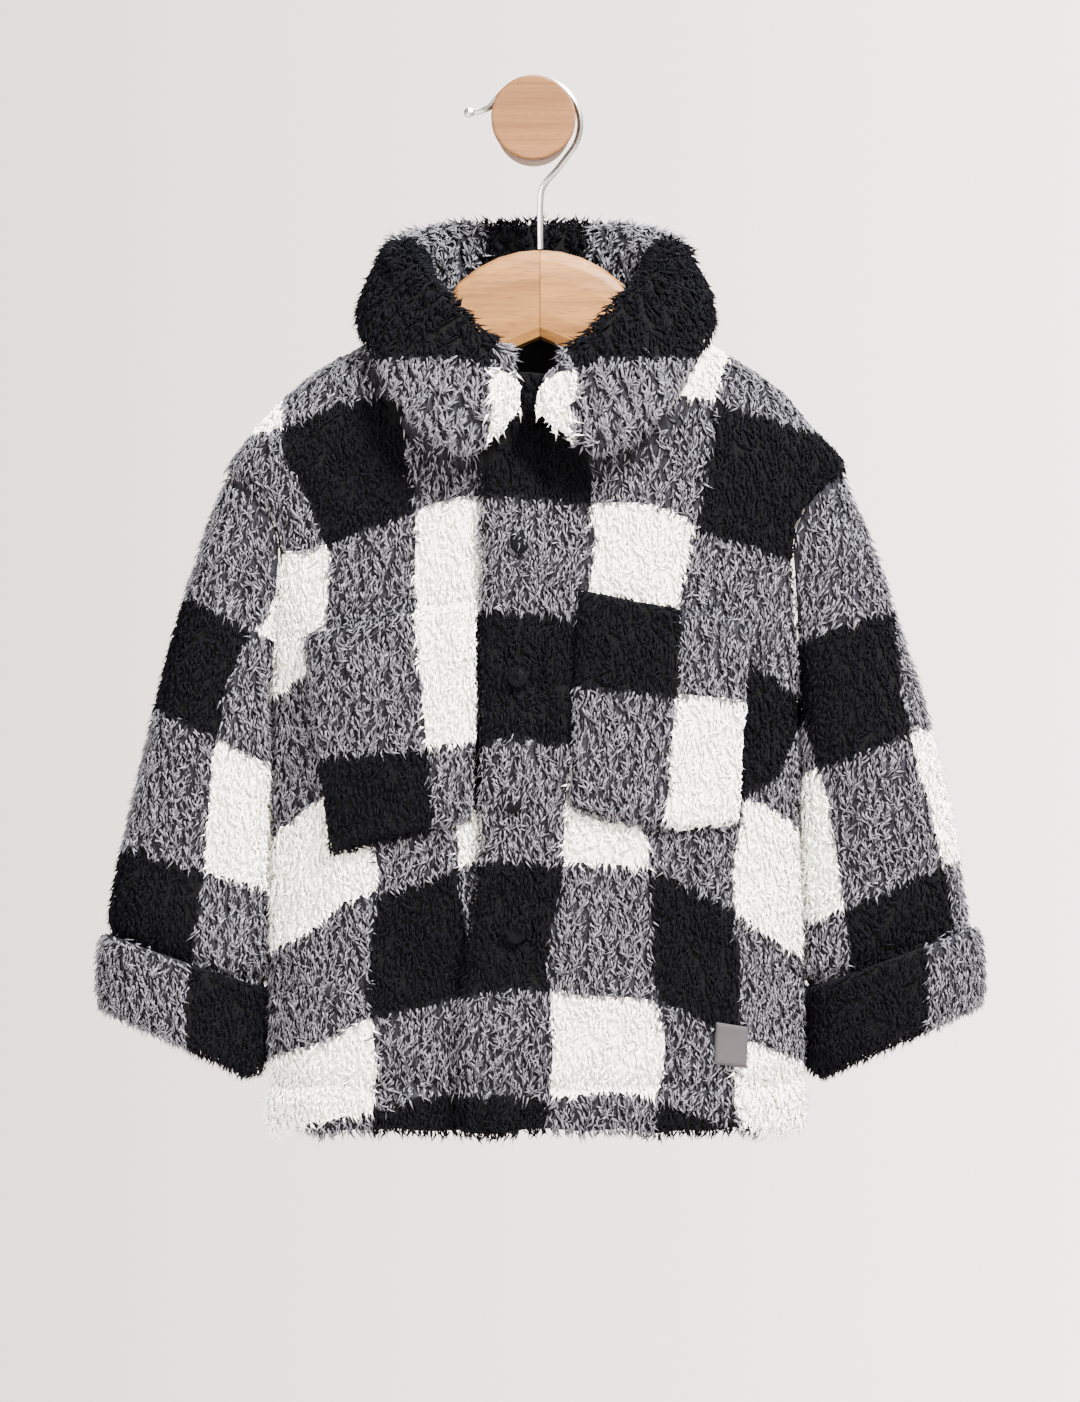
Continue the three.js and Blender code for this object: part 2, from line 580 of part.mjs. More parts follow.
// The middle of the collar's cloth across one station, from the neck seam to its edge
function collarSection(turn, side) {
  const value = (column) => valueAt(COLLAR, 'turn', column, turn);
  const place = (x, y, z) => new THREE.Vector3(MIDDLE + side * x, y, z);
  const angle = 270 + side * turn;
  const z = neckZ(angle);
  const layer = turn < 90 ? 'back' : side > 0 ? 'upper' : 'lower';
  const seam = panelPoint(angle, z, layer);
  const roll = place(value('rollX'), value('rollY'), value('rollZ'));
  const edge = place(value('edgeX'), value('edgeY'), value('edgeZ'));
  const out = new THREE.Vector3().subVectors(roll, seam.clone().lerp(place(0, 0, z), 0.2)).setZ(0).normalize();
  const gap = value('gap');
  const rise = Math.max(0, roll.z - seam.z);
  const start = seam.clone().addScaledVector(out, -COLLAR_CLOTH / 2);
  start.z += 2.5 + (COLLAR_CLOTH / 2) * (1 - smooth(0, 25, rise));
  const heel = roll.clone().addScaledVector(out, -gap);
  heel.z -= gap;
  const brow = roll.clone().addScaledVector(out, gap);
  brow.z -= gap;
  const stand = [0.5, 1].map((part) => start.clone().lerp(heel, part));
  const fall = FALL_STEPS.map((part) => {
    const point = brow.clone().lerp(edge, part);
    const middle = Math.sin(Math.PI * part);
    point.x -= side * value('swing') * middle * (side > 0 ? LEFT_SWING : 1);
    return point.addScaledVector(out, FALL_BULGE * middle);
  });
  const corner = (from) => roll.clone().addScaledVector(out, from * gap * 0.72).setZ(roll.z - gap * 0.3);
  return [start, ...stand, corner(-1), roll, corner(1), brow, ...fall];
}

function collar() {
  const stations = [];
  for (let i = -COLLAR_STATIONS; i <= COLLAR_STATIONS; i += 1) {
    const turn = (COLLAR_END * Math.abs(i)) / COLLAR_STATIONS;
    stations.push(collarSection(turn, i < 0 ? -1 : 1));
  }
  const normals = gridNormals(stations, false);
  const last = stations.length - 1;
  const edge = stations[0].length - 1;
  const half = (r, c) => {
    const nearEnd = Math.min(r, last - r) === 0 || c === edge ? 0.55 : 1;
    return (COLLAR_CLOTH / 2) * nearEnd;
  };
  const face = (sign) => stations.map((row, r) => row.map((point, c) => (
    point.clone().addScaledVector(normals[r][c], sign * half(r, c)))));
  return wall(face(1), face(-1), false);
}

// Pockets, label and studs

// A patch laid on a front, from the three points along its top and along its bottom
function patch({ top, bottom }, layer, thick, across, down) {
  const edge = (corners) => new THREE.QuadraticBezierCurve3(
    new THREE.Vector3(corners[0][0], 0, corners[0][1]),
    new THREE.Vector3(
      2 * corners[1][0] - (corners[0][0] + corners[2][0]) / 2,
      0,
      2 * corners[1][1] - (corners[0][1] + corners[2][1]) / 2,
    ),
    new THREE.Vector3(corners[2][0], 0, corners[2][1]),
  );
  const [upper, lower] = [edge(top), edge(bottom)];
  const surface = (liftAt) => Array.from({ length: down + 1 }, (_, r) => (
    Array.from({ length: across + 1 }, (_, c) => {
      const spot = upper.getPoint(c / across).lerp(lower.getPoint(c / across), r / down);
      const rim = r === 0 || r === down || c === 0 || c === across;
      return panelPoint(angleAt(spot.x, spot.z), spot.z, layer, liftAt(rim));
    })));
  return wall(surface((rim) => LAID_ON + thick * (rim ? 0.55 : 1)), surface(() => LAID_ON), false);
}

function stud({ x, z }) {
  const { radius, height } = STUD;
  const profile = [
    new THREE.Vector2(0, 0),
    new THREE.Vector2(radius * 0.86, 0),
    new THREE.Vector2(radius, height * 0.3),
    new THREE.Vector2(radius * 0.92, height * 0.62),
    new THREE.Vector2(radius * 0.6, height * 0.9),
    new THREE.Vector2(0, height),
  ];
  const geometry = new THREE.LatheGeometry(profile, 16);
  const angle = angleAt(x, z);
  const normal = bodyNormal(angle, z);
  geometry.applyQuaternion(new THREE.Quaternion().setFromUnitVectors(new THREE.Vector3(0, 1, 0), normal));
  const foot = panelPoint(angle, z, 'upper', LAID_ON);
  geometry.translate(foot.x, foot.y, foot.z);
  return geometry;
}

// Hanger, hook and peg

const HANGER_SIDES = 14;

function hangerHalf(side) {
  const rings = HANGER_ARM.map(({ x, top, bottom, thick }, i) => {
    const high = HANGER.top + (top + bottom) / 2;
    const reach = (top - bottom) / 2;
    const gap = i === 0 ? SEAM / 2 : 0;
    return Array.from({ length: HANGER_SIDES }, (_, c) => {
      const turn = (2 * Math.PI * (c + 0.5)) / HANGER_SIDES;
      const y = (HANGER.thick / 2) * thick * signedPower(Math.cos(turn), 2 / HANGER.power);
      const z = high + reach * signedPower(Math.sin(turn), 2 / HANGER.power);
      return new THREE.Vector3(HANGER.x + side * (x + gap), y, z);
    });
  });
  const tip = rings.at(-1);
  const end = HANGER_ARM.at(-1);
  const tipZ = HANGER.top + (end.top + end.bottom) / 2;
  rings.push(tip.map((p) => new THREE.Vector3(p.x + side * 4, p.y * 0.6, lerp(p.z, tipZ - 1.5, 0.5))));
  return rod(rings);
}

// The hook's wire: a ball, a short lip, the ring over the peg, and the shank down to the
// wood. Each point is in the hanger's plane.
function hook() {
  const { radius, ring, ringX, ringZ, shankX, ball } = WIRE;
  const onRing = (angle) => [ringX + ring * Math.cos(radians(angle)), ringZ + ring * Math.sin(radians(angle))];
  const arc = Array.from({ length: 20 }, (_, i) => onRing(lerp(142, -42, i / 19)));
  const lip = [[-28.4, 3.7], [-24.6, 4.2], [-21, 5.8], [-18.4, 8.6]];
  const bend = [[11.2, -23.6], [6.4, -28.9], [4, -33], [shankX, -38.4], [shankX, HANGER.top + SEAM + 0.1]];
  const path = new THREE.CatmullRomCurve3([...lip, ...arc, ...bend].map(([x, z]) => new THREE.Vector3(x, 0, z)));
  const steps = 58;
  const rings = [];
  const ringAt = (centre, along, size) => {
    const across = new THREE.Vector3(along.z, 0, -along.x);
    return Array.from({ length: 8 }, (_, c) => {
      const turn = (2 * Math.PI * c) / 8;
      return centre.clone()
        .addScaledVector(across, size * Math.cos(turn))
        .add(new THREE.Vector3(0, size * Math.sin(turn), 0));
    });
  };
  const start = path.getPointAt(0);
  const lead = path.getTangentAt(0);
  for (const latitude of [-68, -38, 0, 38]) {
    const centre = start.clone().addScaledVector(lead, ball * (Math.sin(radians(latitude)) - 0.8));
    rings.push(ringAt(centre, lead, ball * Math.cos(radians(latitude))));
  }
  for (let i = 0; i <= steps; i += 1) {
    rings.push(ringAt(path.getPointAt(i / steps), path.getTangentAt(i / steps), radius));
  }
  return rod(rings);
}

function peg() {
  const { shaft, disc, discThick, discBack, round } = PEG;
  const face = discBack + discThick;
  const profile = [
    [0, 0], [shaft, 0], [shaft, discBack], [disc - round, discBack], [disc, discBack + round],
    [disc, face - round], [disc - round * 0.3, face - round * 0.3], [disc - round, face], [0, face],
  ];
  const geometry = new THREE.LatheGeometry(profile.map(([r, y]) => new THREE.Vector2(r, y)), 40);
  geometry.rotateX(Math.PI);
  return geometry;
}

// Assembly

function material(color, roughness, metalness = 0) {
  return new THREE.MeshStandardMaterial({ color, roughness, metalness, side: THREE.FrontSide });
}

const FLEECE = { color: MARL, roughness: 0.95 };
const WOOD = { color: BEECH, roughness: 0.55 };

const jacket = new THREE.Group();
const hung = new THREE.Group();
hung.position.set(0, -HANGING_OUT, 0);
jacket.add(hung);

function addPiece(group, name, geometry, { color, roughness, metalness }) {
  const mesh = new THREE.Mesh(geometry, material(color, roughness, metalness));
  mesh.name = name;
  group.add(mesh);
}

const leftRings = sleeveRings(SLEEVE_LEFT, 1);
const rightRings = sleeveRings(SLEEVE_RIGHT, -1);

addPiece(hung, 'front_left', panel(upperFrontAngles, 'upper'), FLEECE);
addPiece(hung, 'front_right', panel(lowerFrontAngles, 'lower'), FLEECE);
addPiece(hung, 'back', panel(backAngles, 'back'), FLEECE);
addPiece(hung, 'sleeve_left', sleeve(leftRings, 1), FLEECE);
addPiece(hung, 'sleeve_right', sleeve(rightRings, -1), FLEECE);
addPiece(hung, 'cuff_left', cuff(leftRings, 1), FLEECE);
addPiece(hung, 'cuff_right', cuff(rightRings, -1), FLEECE);
addPiece(hung, 'collar', collar(), FLEECE);
addPiece(hung, 'pocket_left', patch(POCKETS.pocket_left, 'upper', POCKET_CLOTH, 8, 9), FLEECE);
addPiece(hung, 'pocket_right', patch(POCKETS.pocket_right, 'lower', POCKET_CLOTH, 8, 9), FLEECE);
addPiece(hung, 'label', patch(LABEL, 'upper', LABEL_CLOTH, 3, 4), { color: LABEL_GREY, roughness: 0.8 });
STUDS.forEach((place, i) => {
  addPiece(hung, `stud_${i + 1}`, stud(place), { color: BLACK, roughness: 0.3, metalness: 0.4 });
});
addPiece(hung, 'hanger_left', hangerHalf(1), WOOD);
addPiece(hung, 'hanger_right', hangerHalf(-1), WOOD);
addPiece(hung, 'hook', hook(), { color: STEEL, roughness: 0.3, metalness: 1 });
addPiece(jacket, 'peg', peg(), WOOD);

export default jacket;
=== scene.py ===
"""A child's checked pile-fleece overshirt on a wooden hanger, hung from a wall peg."""

import bpy
import numpy as np
from mathutils import Matrix, Vector


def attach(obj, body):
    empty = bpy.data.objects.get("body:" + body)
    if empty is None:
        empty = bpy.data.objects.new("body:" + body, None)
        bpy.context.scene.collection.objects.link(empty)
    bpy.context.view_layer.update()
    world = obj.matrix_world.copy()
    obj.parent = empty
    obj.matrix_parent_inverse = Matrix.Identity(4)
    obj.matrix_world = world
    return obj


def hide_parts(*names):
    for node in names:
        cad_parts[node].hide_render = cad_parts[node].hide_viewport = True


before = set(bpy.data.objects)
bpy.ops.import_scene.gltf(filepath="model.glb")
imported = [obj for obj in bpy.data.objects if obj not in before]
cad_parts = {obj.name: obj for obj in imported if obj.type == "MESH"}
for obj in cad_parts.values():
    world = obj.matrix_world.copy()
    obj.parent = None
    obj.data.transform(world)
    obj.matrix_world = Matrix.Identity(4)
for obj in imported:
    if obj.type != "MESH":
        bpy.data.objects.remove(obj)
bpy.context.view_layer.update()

# Wall peg: a turned beech shaft with a wider round disc on its end, sanded and left
# plain. The grain runs level across the disc's face. It screws to a wall through its
# flat back, and everything else hangs from it.


class Strand:
    """One output in a node tree, so that node maths reads as plain sums."""

    def __init__(self, nodes, socket):
        self.nodes, self.socket = nodes, socket

    def maths(self, how, *ends):
        return self.nodes.add("ShaderNodeMath", {"operation": how}, dict(enumerate(ends)))

    def __add__(self, other):
        return self.maths("ADD", self, other)

    def __sub__(self, other):
        return self.maths("SUBTRACT", self, other)

    def __rsub__(self, other):
        return self.maths("SUBTRACT", other, self)

    def __mul__(self, other):
        return self.maths("MULTIPLY", self, other)

    def __rtruediv__(self, other):
        return self.maths("DIVIDE", other, self)

    def __truediv__(self, other):
        return self.maths("DIVIDE", self, other)

    def __gt__(self, other):
        return self.maths("GREATER_THAN", self, other)

    __radd__, __rmul__ = __add__, __mul__

    def clamped(self):
        return self.nodes.add("ShaderNodeClamp", {}, {"Value": self})


class Nodes:
    """A node tree under construction."""

    def __init__(self, tree):
        self.tree = tree

    def join(self, value, socket):
        if isinstance(value, Strand):
            self.tree.links.new(value.socket, socket)
        else:
            socket.default_value = value

    def add(self, kind, settings, sockets, output=0):
        node = self.tree.nodes.new(kind)
        for name, value in settings.items():
            if name == "stops":
                for place, (at, colour) in enumerate(value):
                    stops = node.color_ramp.elements
                    stop = stops[place] if place < 2 else stops.new(at)
                    stop.position, stop.color = at, colour
            else:
                setattr(node, name, value)
        for name, value in sockets.items():
            self.join(value, node.inputs[name])
        return Strand(self, node.outputs[output])

    def mix(self, factor, low, high, how="MIX"):
        settings = {"data_type": "RGBA", "blend_type": how}
        return self.add("ShaderNodeMix", settings, {0: factor, 6: low, 7: high}, 2)


class Finish(Nodes):
    """A procedural material for one of the jacket's own surfaces."""

    def __init__(self, name):
        self.material = bpy.data.materials.new(name)
        self.material.use_nodes = True
        super().__init__(self.material.node_tree)
        self.surface = self.tree.nodes["Principled BSDF"]

    def place(self, turn=(0, 0, 0), scale=(1, 1, 1), start=(0, 0, 0)):
        coordinates = self.add("ShaderNodeTexCoord", {}, {}, 3)
        sockets = {"Vector": coordinates, "Location": start, "Rotation": turn, "Scale": scale}
        return self.add("ShaderNodeMapping", {}, sockets)

    def stored(self, name):
        return self.add("ShaderNodeAttribute", {"attribute_name": name}, {}, 2)

    def noise(self, vector, scale, detail=3, roughness=0.55):
        sockets = {"Vector": vector, "Scale": scale, "Detail": detail, "Roughness": roughness}
        return self.add("ShaderNodeTexNoise", {}, sockets)

    def looks(self, colour, roughness, height=None, strength=0.3, distance=0.001, **constants):
        self.join(colour, self.surface.inputs["Base Color"])
        self.join(roughness, self.surface.inputs["Roughness"])
        if height is not None:
            sockets = {"Height": height, "Strength": strength, "Distance": distance}
            bump = self.add("ShaderNodeBump", {}, sockets)
            self.join(bump, self.surface.inputs["Normal"])
        for name, value in constants.items():
            socket = name.replace("_", " ").title().replace("Ior", "IOR")
            self.surface.inputs[socket].default_value = value
        return self.material


def ink(shade):
    """A screen colour such as #f4f4f0, as linear light."""
    parts = [int(shade[i:i + 2], 16) / 255 for i in (1, 3, 5)]
    return tuple(p / 12.92 if p < 0.04 else ((p + 0.055) / 1.055) ** 2.4 for p in parts) + (1.0,)


def beech(name, turn, pale="#64401c", dark="#452708"):
    """Sanded beech: fine grain along the turned X axis, with short darker flecks."""
    wood = Finish(name)
    along = wood.place(turn, (14, 420, 420))
    grain = wood.noise(along, 1.0, 5, 0.6)
    bands = wood.noise(wood.place(turn, (5, 95, 95)), 1.0, 2)
    flecks = wood.noise(wood.place(turn, (120, 1500, 1500)), 1.0, 1) > 0.66
    tone = (grain * 1.5 + bands * 1.3 - 0.9).clamped()
    colour = wood.mix(tone, ink(pale), ink(dark))
    colour = wood.mix(flecks * 0.5, colour, ink("#3a1f08"))
    return wood.looks(colour, grain * 0.2 + 0.5, grain - flecks * 0.3, 0.12, 0.0004, specular_ior_level=0.25)


def finish_node(node, material):
    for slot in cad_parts[node].material_slots:
        slot.material = material


finish_node("peg", beech("beech_peg", (0, 0.05, 0)))

# Hook: one length of steel wire with a satin nickel finish. Its end is melted into a
# small ball, the bend goes over the peg, and the shank is screwed down into the hanger.

satin = Finish("satin_steel")
drawn = satin.noise(satin.place((0, 0, 0), (900, 900, 120)), 1.0, 2)
finish_node("hook", satin.looks(
    satin.mix(drawn, ink("#8c8a87"), ink("#aaa8a4")), drawn * 0.12 + 0.24, drawn, 0.05, 0.0002, metallic=1.0))

# Hanger: two arms sawn from beech board, mitred and glued at the middle with the grain
# of each running down to its shoulder, so that it meets in a chevron. Edges are sanded.

for side, name in ((1, "hanger_left"), (-1, "hanger_right")):
    finish_node(name, beech(f"beech_{name}", (0, -0.45 * side, 0), "#815728", "#563410"))

# Back: one panel of pile fleece, a smooth dark knit inside and a thick combed pile
# outside. It is sewn to the fronts at the sides and shoulders, and to the sleeves round
# the armholes; the hem is turned up and stitched.

MM = 0.001
HANGING_OUT = 54.0  # from the wall to the hanger's plane
MIDDLE = 1.2  # the jacket's middle, to one side of the peg's
CLOTH = 7.5  # from the combed tips to the inside of the cloth
PILE = 1.8  # how far the knitted ground is below the combed tips
HEM_Z, HEM_DEPTH = -478.0, 23.0
# Above the roof's level, the shoulders close in to the neckline
ROOF_Z, NECK_POINT_Z, FRONT_NECK_DROP, BACK_NECK_DROP, NECK_CURVE = -130.0, -98.0, 24.0, 4.0, 2.4
ARMPIT_Z, SHOULDER_TIP_Z = -270.0, -165.0
PLACKET, OVERLAP_LIFT, UNDERLAP, LAP_GAP = 28.0, 3.6, 34.0, 0.6
GROOVE, GROOVE_WIDTH = 2.4, 4.0  # how stitching pulls the pile in

# z, half the width, depth in front and behind, and how square the ring is
BODY = np.array([
    (-478, 127.2, 46, 37, 2.3), (-455, 126.4, 47.5, 38, 2.3), (-400, 125, 48, 38.5, 2.35),
    (-330, 124, 48.5, 39, 2.4), (-270, 124.5, 48, 38.5, 2.4), (-240, 127, 47, 38, 2.4),
    (-218, 129.5, 46, 37.5, 2.35), (-202, 132.5, 45, 37, 2.3), (-190, 136, 44.5, 36.5, 2.3),
    (-177, 141, 43.5, 36, 2.3), (-165, 145.2, 42.5, 35.5, 2.25), (-148, 133.5, 42, 34.5, 2.2),
    (-129, 116.5, 40.5, 33, 2.15), (-115, 97, 39, 31, 2.1), (-103.5, 76, 37, 29, 2.05),
    (-98, 63, 36, 28, 2)])
# z, and how far round from the side the front and the back are cut away, in degrees
ARMHOLE = np.array([
    (-270, 0, 0), (-264, 6, 6), (-256, 10, 9.5), (-246, 14, 13), (-234, 18, 16.5), (-220, 22, 20),
    (-206, 25.5, 23), (-194, 26.5, 24), (-184, 24.5, 22.5), (-176, 20, 19), (-170, 13, 12.5),
    (-165, 0, 0)])
# z, and x of the upper front's free edge from the middle
FREE_EDGE = np.array([(-478, -35), (-416, -34), (-385, -29.5), (-350, -25.5), (-300, -24.4), (-98, -24.4)])
# side, x, top, slope, width and depth of the soft folds that run down to the hem
FOLDS = [
    (1, -62, -330, 0.1, 13, -3.6), (1, -92, -350, -0.05, 15, 2.6), (1, 58, -345, -0.06, 14, -3.4),
    (1, 92, -330, 0.06, 14, 2.4), (-1, -78, -250, -0.08, 16, -4.2), (-1, -34, -300, 0.04, 17, 3),
    (-1, 12, -280, -0.03, 15, -3.2), (-1, 70, -230, 0.1, 17, -4.4)]


def table_value(table, column, at):
    """A smooth value between the rows of a table, with no overshoot."""
    keys, values = table[:, 0], table[:, column]
    at = np.clip(at, keys[0], keys[-1])
    slope = np.diff(values) / np.diff(keys)
    before, after = slope[:-1], slope[1:]
    agree = before * after > 0
    inner = np.where(agree, 2 * before * after / np.where(agree, before + after, 1), 0)
    tangent = np.concatenate([slope[:1], inner, slope[-1:]])
    i = np.clip(np.searchsorted(keys, at) - 1, 0, len(keys) - 2)
    span = keys[i + 1] - keys[i]
    t = (at - keys[i]) / span
    ease = t * t * (3 - 2 * t)
    return (values[i] * (1 - ease) + values[i + 1] * ease
            + tangent[i] * span * t * (1 - t) ** 2 + tangent[i + 1] * span * t * t * (t - 1))


def bump(distance, width):
    return np.exp(-((distance / width) ** 2))


def smooth(start, end, at):
    t = np.clip((at - start) / (end - start), 0, 1)
    return t * t * (3 - 2 * t)


def signed_power(value, power):
    return np.sign(value) * np.abs(value) ** power


def unit(vectors):
    return vectors / np.maximum(np.linalg.norm(vectors, axis=-1, keepdims=True), 1e-9)


def body_point(angle, z):
    """The body's outside: 0 is the left side seam, 90 the front, 180 the right, 270 the back."""
    turn = np.radians(angle)
    power = 2 / table_value(BODY, 4, z)
    depth = np.where(np.sin(turn) >= 0, table_value(BODY, 2, z), table_value(BODY, 3, z))
    x = MIDDLE + table_value(BODY, 1, z) * signed_power(np.cos(turn), power)
    return np.stack([x, -depth * signed_power(np.sin(turn), power), z + 0 * x], -1)


def body_normal(angle, z):
    around = body_point(angle + 0.4, z) - body_point(angle - 0.4, z)
    up = body_point(angle, z + 0.4) - body_point(angle, z - 0.4)
    return unit(np.cross(up, around))


def angle_at(x, z):
    part = np.clip(x / table_value(BODY, 1, z), -1, 1)
    return np.degrees(np.arccos(signed_power(part, table_value(BODY, 4, z) / 2)))


def neck_z(angle):
    sine = np.sin(np.radians(angle))
    drop = np.where(sine >= 0, FRONT_NECK_DROP, BACK_NECK_DROP)
    return NECK_POINT_Z - drop * np.abs(sine) ** NECK_CURVE


def relief(point, layer):
    """Folds, and the lap of the two fronts."""
    x, z = point[..., 0] - MIDDLE, point[..., 2]
    lift = 0
    for side, at, top, slope, width, depth in FOLDS:
        if side == (-1 if layer == "back" else 1):
            run = top - z
            lift = lift + depth * smooth(0, 90, run) * bump(x - at - slope * run, width)
    from_edge = x - table_value(FREE_EDGE, 1, z)
    lap = OVERLAP_LIFT * (1 - smooth(PLACKET * 0.6, PLACKET * 1.5, from_edge))
    if layer == "upper":
        lift = lift + lap
    if layer == "lower":
        lift = lift + (lap - CLOTH - LAP_GAP) * smooth(-16, -2, from_edge)
    return lift


def stitching(point, layer):
    """How far stitching and turned edges pull the pile in."""
    z = point[..., 2]
    sunk = bump(z - (HEM_Z + HEM_DEPTH), GROOVE_WIDTH) + bump(z - HEM_Z, GROOVE_WIDTH)
    from_edge = point[..., 0] - MIDDLE - table_value(FREE_EDGE, 1, z)
    if layer == "upper":
        sunk = sunk + bump(from_edge - PLACKET, GROOVE_WIDTH) + bump(from_edge, GROOVE_WIDTH * 0.6)
    return -GROOVE * np.minimum(sunk, 1.2)


def panel_point(angle, z, layer, lift=0.0):
    plain = body_point(angle, z)
    x, z = plain[..., 0], plain[..., 2]
    soft = 0.8 * np.sin(x / 7 + 1.6 * np.sin(z / 13)) * np.sin(z / 9 + 1.4 * np.sin(x / 15))
    out = relief(plain, layer) + stitching(plain, layer) + soft + lift
    return plain + body_normal(angle, plain[..., 2]) * out[..., None]


def panel_rows(step):
    """Levels from hem to roof, and then parts of the way on to the neckline."""
    levels = np.append(np.arange(HEM_Z + 2.6, ROOF_Z - 1, step), ROOF_Z)
    roof = np.linspace(0, 1, 10)[1:]
    parts = np.concatenate([np.zeros(len(levels)), roof])
    middle = np.concatenate([levels, ROOF_Z + (neck_z(90) - ROOF_Z) * roof])
    return np.append(levels, np.full(len(roof), ROOF_Z)), parts, middle


def grid_normals(grid, closed_rows=False, closed_columns=False):
    def change(axis, closed):
        return np.roll(grid, -1, axis) - np.roll(grid, 1, axis) if closed else np.gradient(grid, axis=axis)
    return unit(np.cross(change(1, closed_columns), change(0, closed_rows)))


def armhole_cut(z, column):
    return np.interp(z, ARMHOLE[:, 0], ARMHOLE[:, column], 0, 0)


def panel_grids(angles, levels, parts, layer):
    """A panel's outer face, under its pile, and its inner face."""
    z = levels[:, None] + (neck_z(angles) - ROOF_Z) * parts[:, None]
    uneven = np.sin(angles * 0.17) + 0.6 * np.sin(angles * 0.43 + 1)
    z = z + (1.3 * uneven + 5 * (layer == "back")) * (1 - smooth(HEM_Z, HEM_Z + 70, z))
    at_side = smooth(0.75, 0.98, np.abs(body_normal(angles, z)[..., 0]))
    outer = panel_point(angles, z, layer, -PILE * (1 - 0.9 * at_side))
    plain = body_point(angles, z)
    inner = plain + body_normal(angles, z) * (relief(plain, layer) - CLOTH)[..., None]
    outer, inner = rounded(outer, inner)
    if layer == "upper":
        turned = (face.transpose(1, 0, 2) for face in (outer, inner))
        outer, inner = (face.transpose(1, 0, 2) for face in rounded(*turned))
    normals = grid_normals(outer)
    return outer, inner, normals * np.sign((normals * (outer - inner)).sum())


def rounded(outer, inner):
    """Both faces of a wall carried round half of its first row's thickness."""
    middle, reach = (outer[0] + inner[0]) / 2, (outer[0] - inner[0]) / 2
    past = unit(outer[0] - outer[1]) * np.linalg.norm(reach, axis=-1, keepdims=True)
    turns = np.radians([84, 56, 28])
    over = [middle + reach * np.cos(t) + past * np.sin(t) for t in turns]
    under = [middle - reach * np.cos(t) + past * np.sin(t) for t in turns]
    return np.concatenate([over, outer]), np.concatenate([under, inner])


def grid_faces(rows, columns, ring, flip=False, closed_rows=False):
    r, c = np.mgrid[0:rows if closed_rows else rows - 1, 0:columns if ring else columns - 1]
    at = lambda a, b: (a % rows * columns + b % columns).ravel()
    faces = np.stack([at(r, c), at(r, c + 1), at(r + 1, c + 1), at(r + 1, c)], -1)
    return faces[:, ::-1] if flip else faces


def outward(points, faces):
    """A closed shell's faces, all turned to look out of it."""
    corner = points[faces]
    fans = [np.cross(corner[:, k], corner[:, k + 1]) for k in (1, 2)]
    volume = sum(np.einsum("ij,ij->i", corner[:, 0], fan).sum() for fan in fans)
    return faces if volume > 0 else faces[:, ::-1]


def new_piece(name, points, faces, slots=()):
    """A mesh from points in millimetres out from the hanger's plane."""
    mesh = bpy.data.meshes.new(name)
    placed = np.asarray(points, float).reshape(-1, 3) * MM + np.array([0, -HANGING_OUT * MM, 0])
    mesh.from_pydata(placed.tolist(), [], [list(map(int, f)) for f in faces])
    mesh.polygons.foreach_set("use_smooth", [True] * len(mesh.polygons))
    for material in slots:
        mesh.materials.append(material)
    piece = bpy.data.objects.new(name, mesh)
    bpy.context.scene.collection.objects.link(piece)
    return piece


def write(mesh, name, values, kind="FLOAT"):
    values = np.ascontiguousarray(values, dtype=np.float32).ravel()
    mesh.attributes.new(name, kind, "POINT").data.foreach_set(
        "vector" if kind == "FLOAT_VECTOR" else "value", values)


def cloth_shell(name, outer, inner, chart, ring=False):
    """Closed cloth between two grids: checked outside, smooth dark knit inside."""
    rows, columns = outer.shape[:2]
    count = rows * columns
    over = grid_faces(rows, columns, ring)
    under = grid_faces(rows, columns, ring, True) + count
    grid = np.arange(count).reshape(rows, columns)
    rims = []
    edges = [(grid[0], False), (grid[-1], True)]
    if not ring:
        edges += [(grid[:, 0], True), (grid[:, -1], False)]
    for edge, turned in edges:
        loop = np.append(edge, edge[0]) if ring else edge
        quads = np.stack([loop[1:], loop[:-1], loop[:-1] + count, loop[1:] + count], -1)
        rims.append(quads[:, ::-1] if turned else quads)
    faces = np.concatenate([over, *rims, under])
    points = np.concatenate([outer.reshape(-1, 3), inner.reshape(-1, 3)])
    piece = new_piece(name, points, outward(points, faces), (ground, lining))
    inside = np.zeros(len(faces), dtype=np.int32)
    inside[len(faces) - len(under):] = 1
    piece.data.polygons.foreach_set("material_index", inside)
    for part, values in zip(("warp", "weft"), chart):
        write(piece.data, part, np.concatenate([values.ravel()] * 2))
    return piece


def past(value, bound, blur=3.0):
    """0 before a boundary and 1 past it, with 0.5 on it."""
    return np.clip((value - bound) / blur + 0.5, 0, 1)


def banded(value, bounds, first_light=True, blur=3.0):
    """1 in light bands and 0 in dark ones, passing 0.5 at each boundary."""
    result = np.full(np.shape(value), 1.0 if first_light else 0.0)
    light = first_light
    for bound in bounds:
        light = not light
        step = past(value, bound, blur)
        result = result + (step if light else -step)
    return result


pile_light, pile_white = ink("#75747a"), ink("#fffdf2")
pile_dark, pile_black = ink("#131216"), ink("#050508")


def drift(x, z):
    """How far a check's edge strays, because the cloth is loose: a few millimetres."""
    return 1.7 * np.sin(x / 13 + 1.7 * np.sin(z / 19)) + 1.1 * np.sin(z / 7.5 + x / 31)


def check_colour(finish, chance, contrast=1.9):
    """Black where two black yarns cross, white where two white ones do, and marl between."""
    check = ((finish.stored("warp") > 0.5) + (finish.stored("weft") > 0.5)) * 0.5
    light = ((check * 2.2 - 0.6 - chance) * contrast + 0.5).clamped()
    pale = finish.mix(check > 0.75, pile_light, pile_white)
    deep = finish.mix(check > 0.25, pile_black, pile_dark)
    return finish.mix(light, deep, pale)


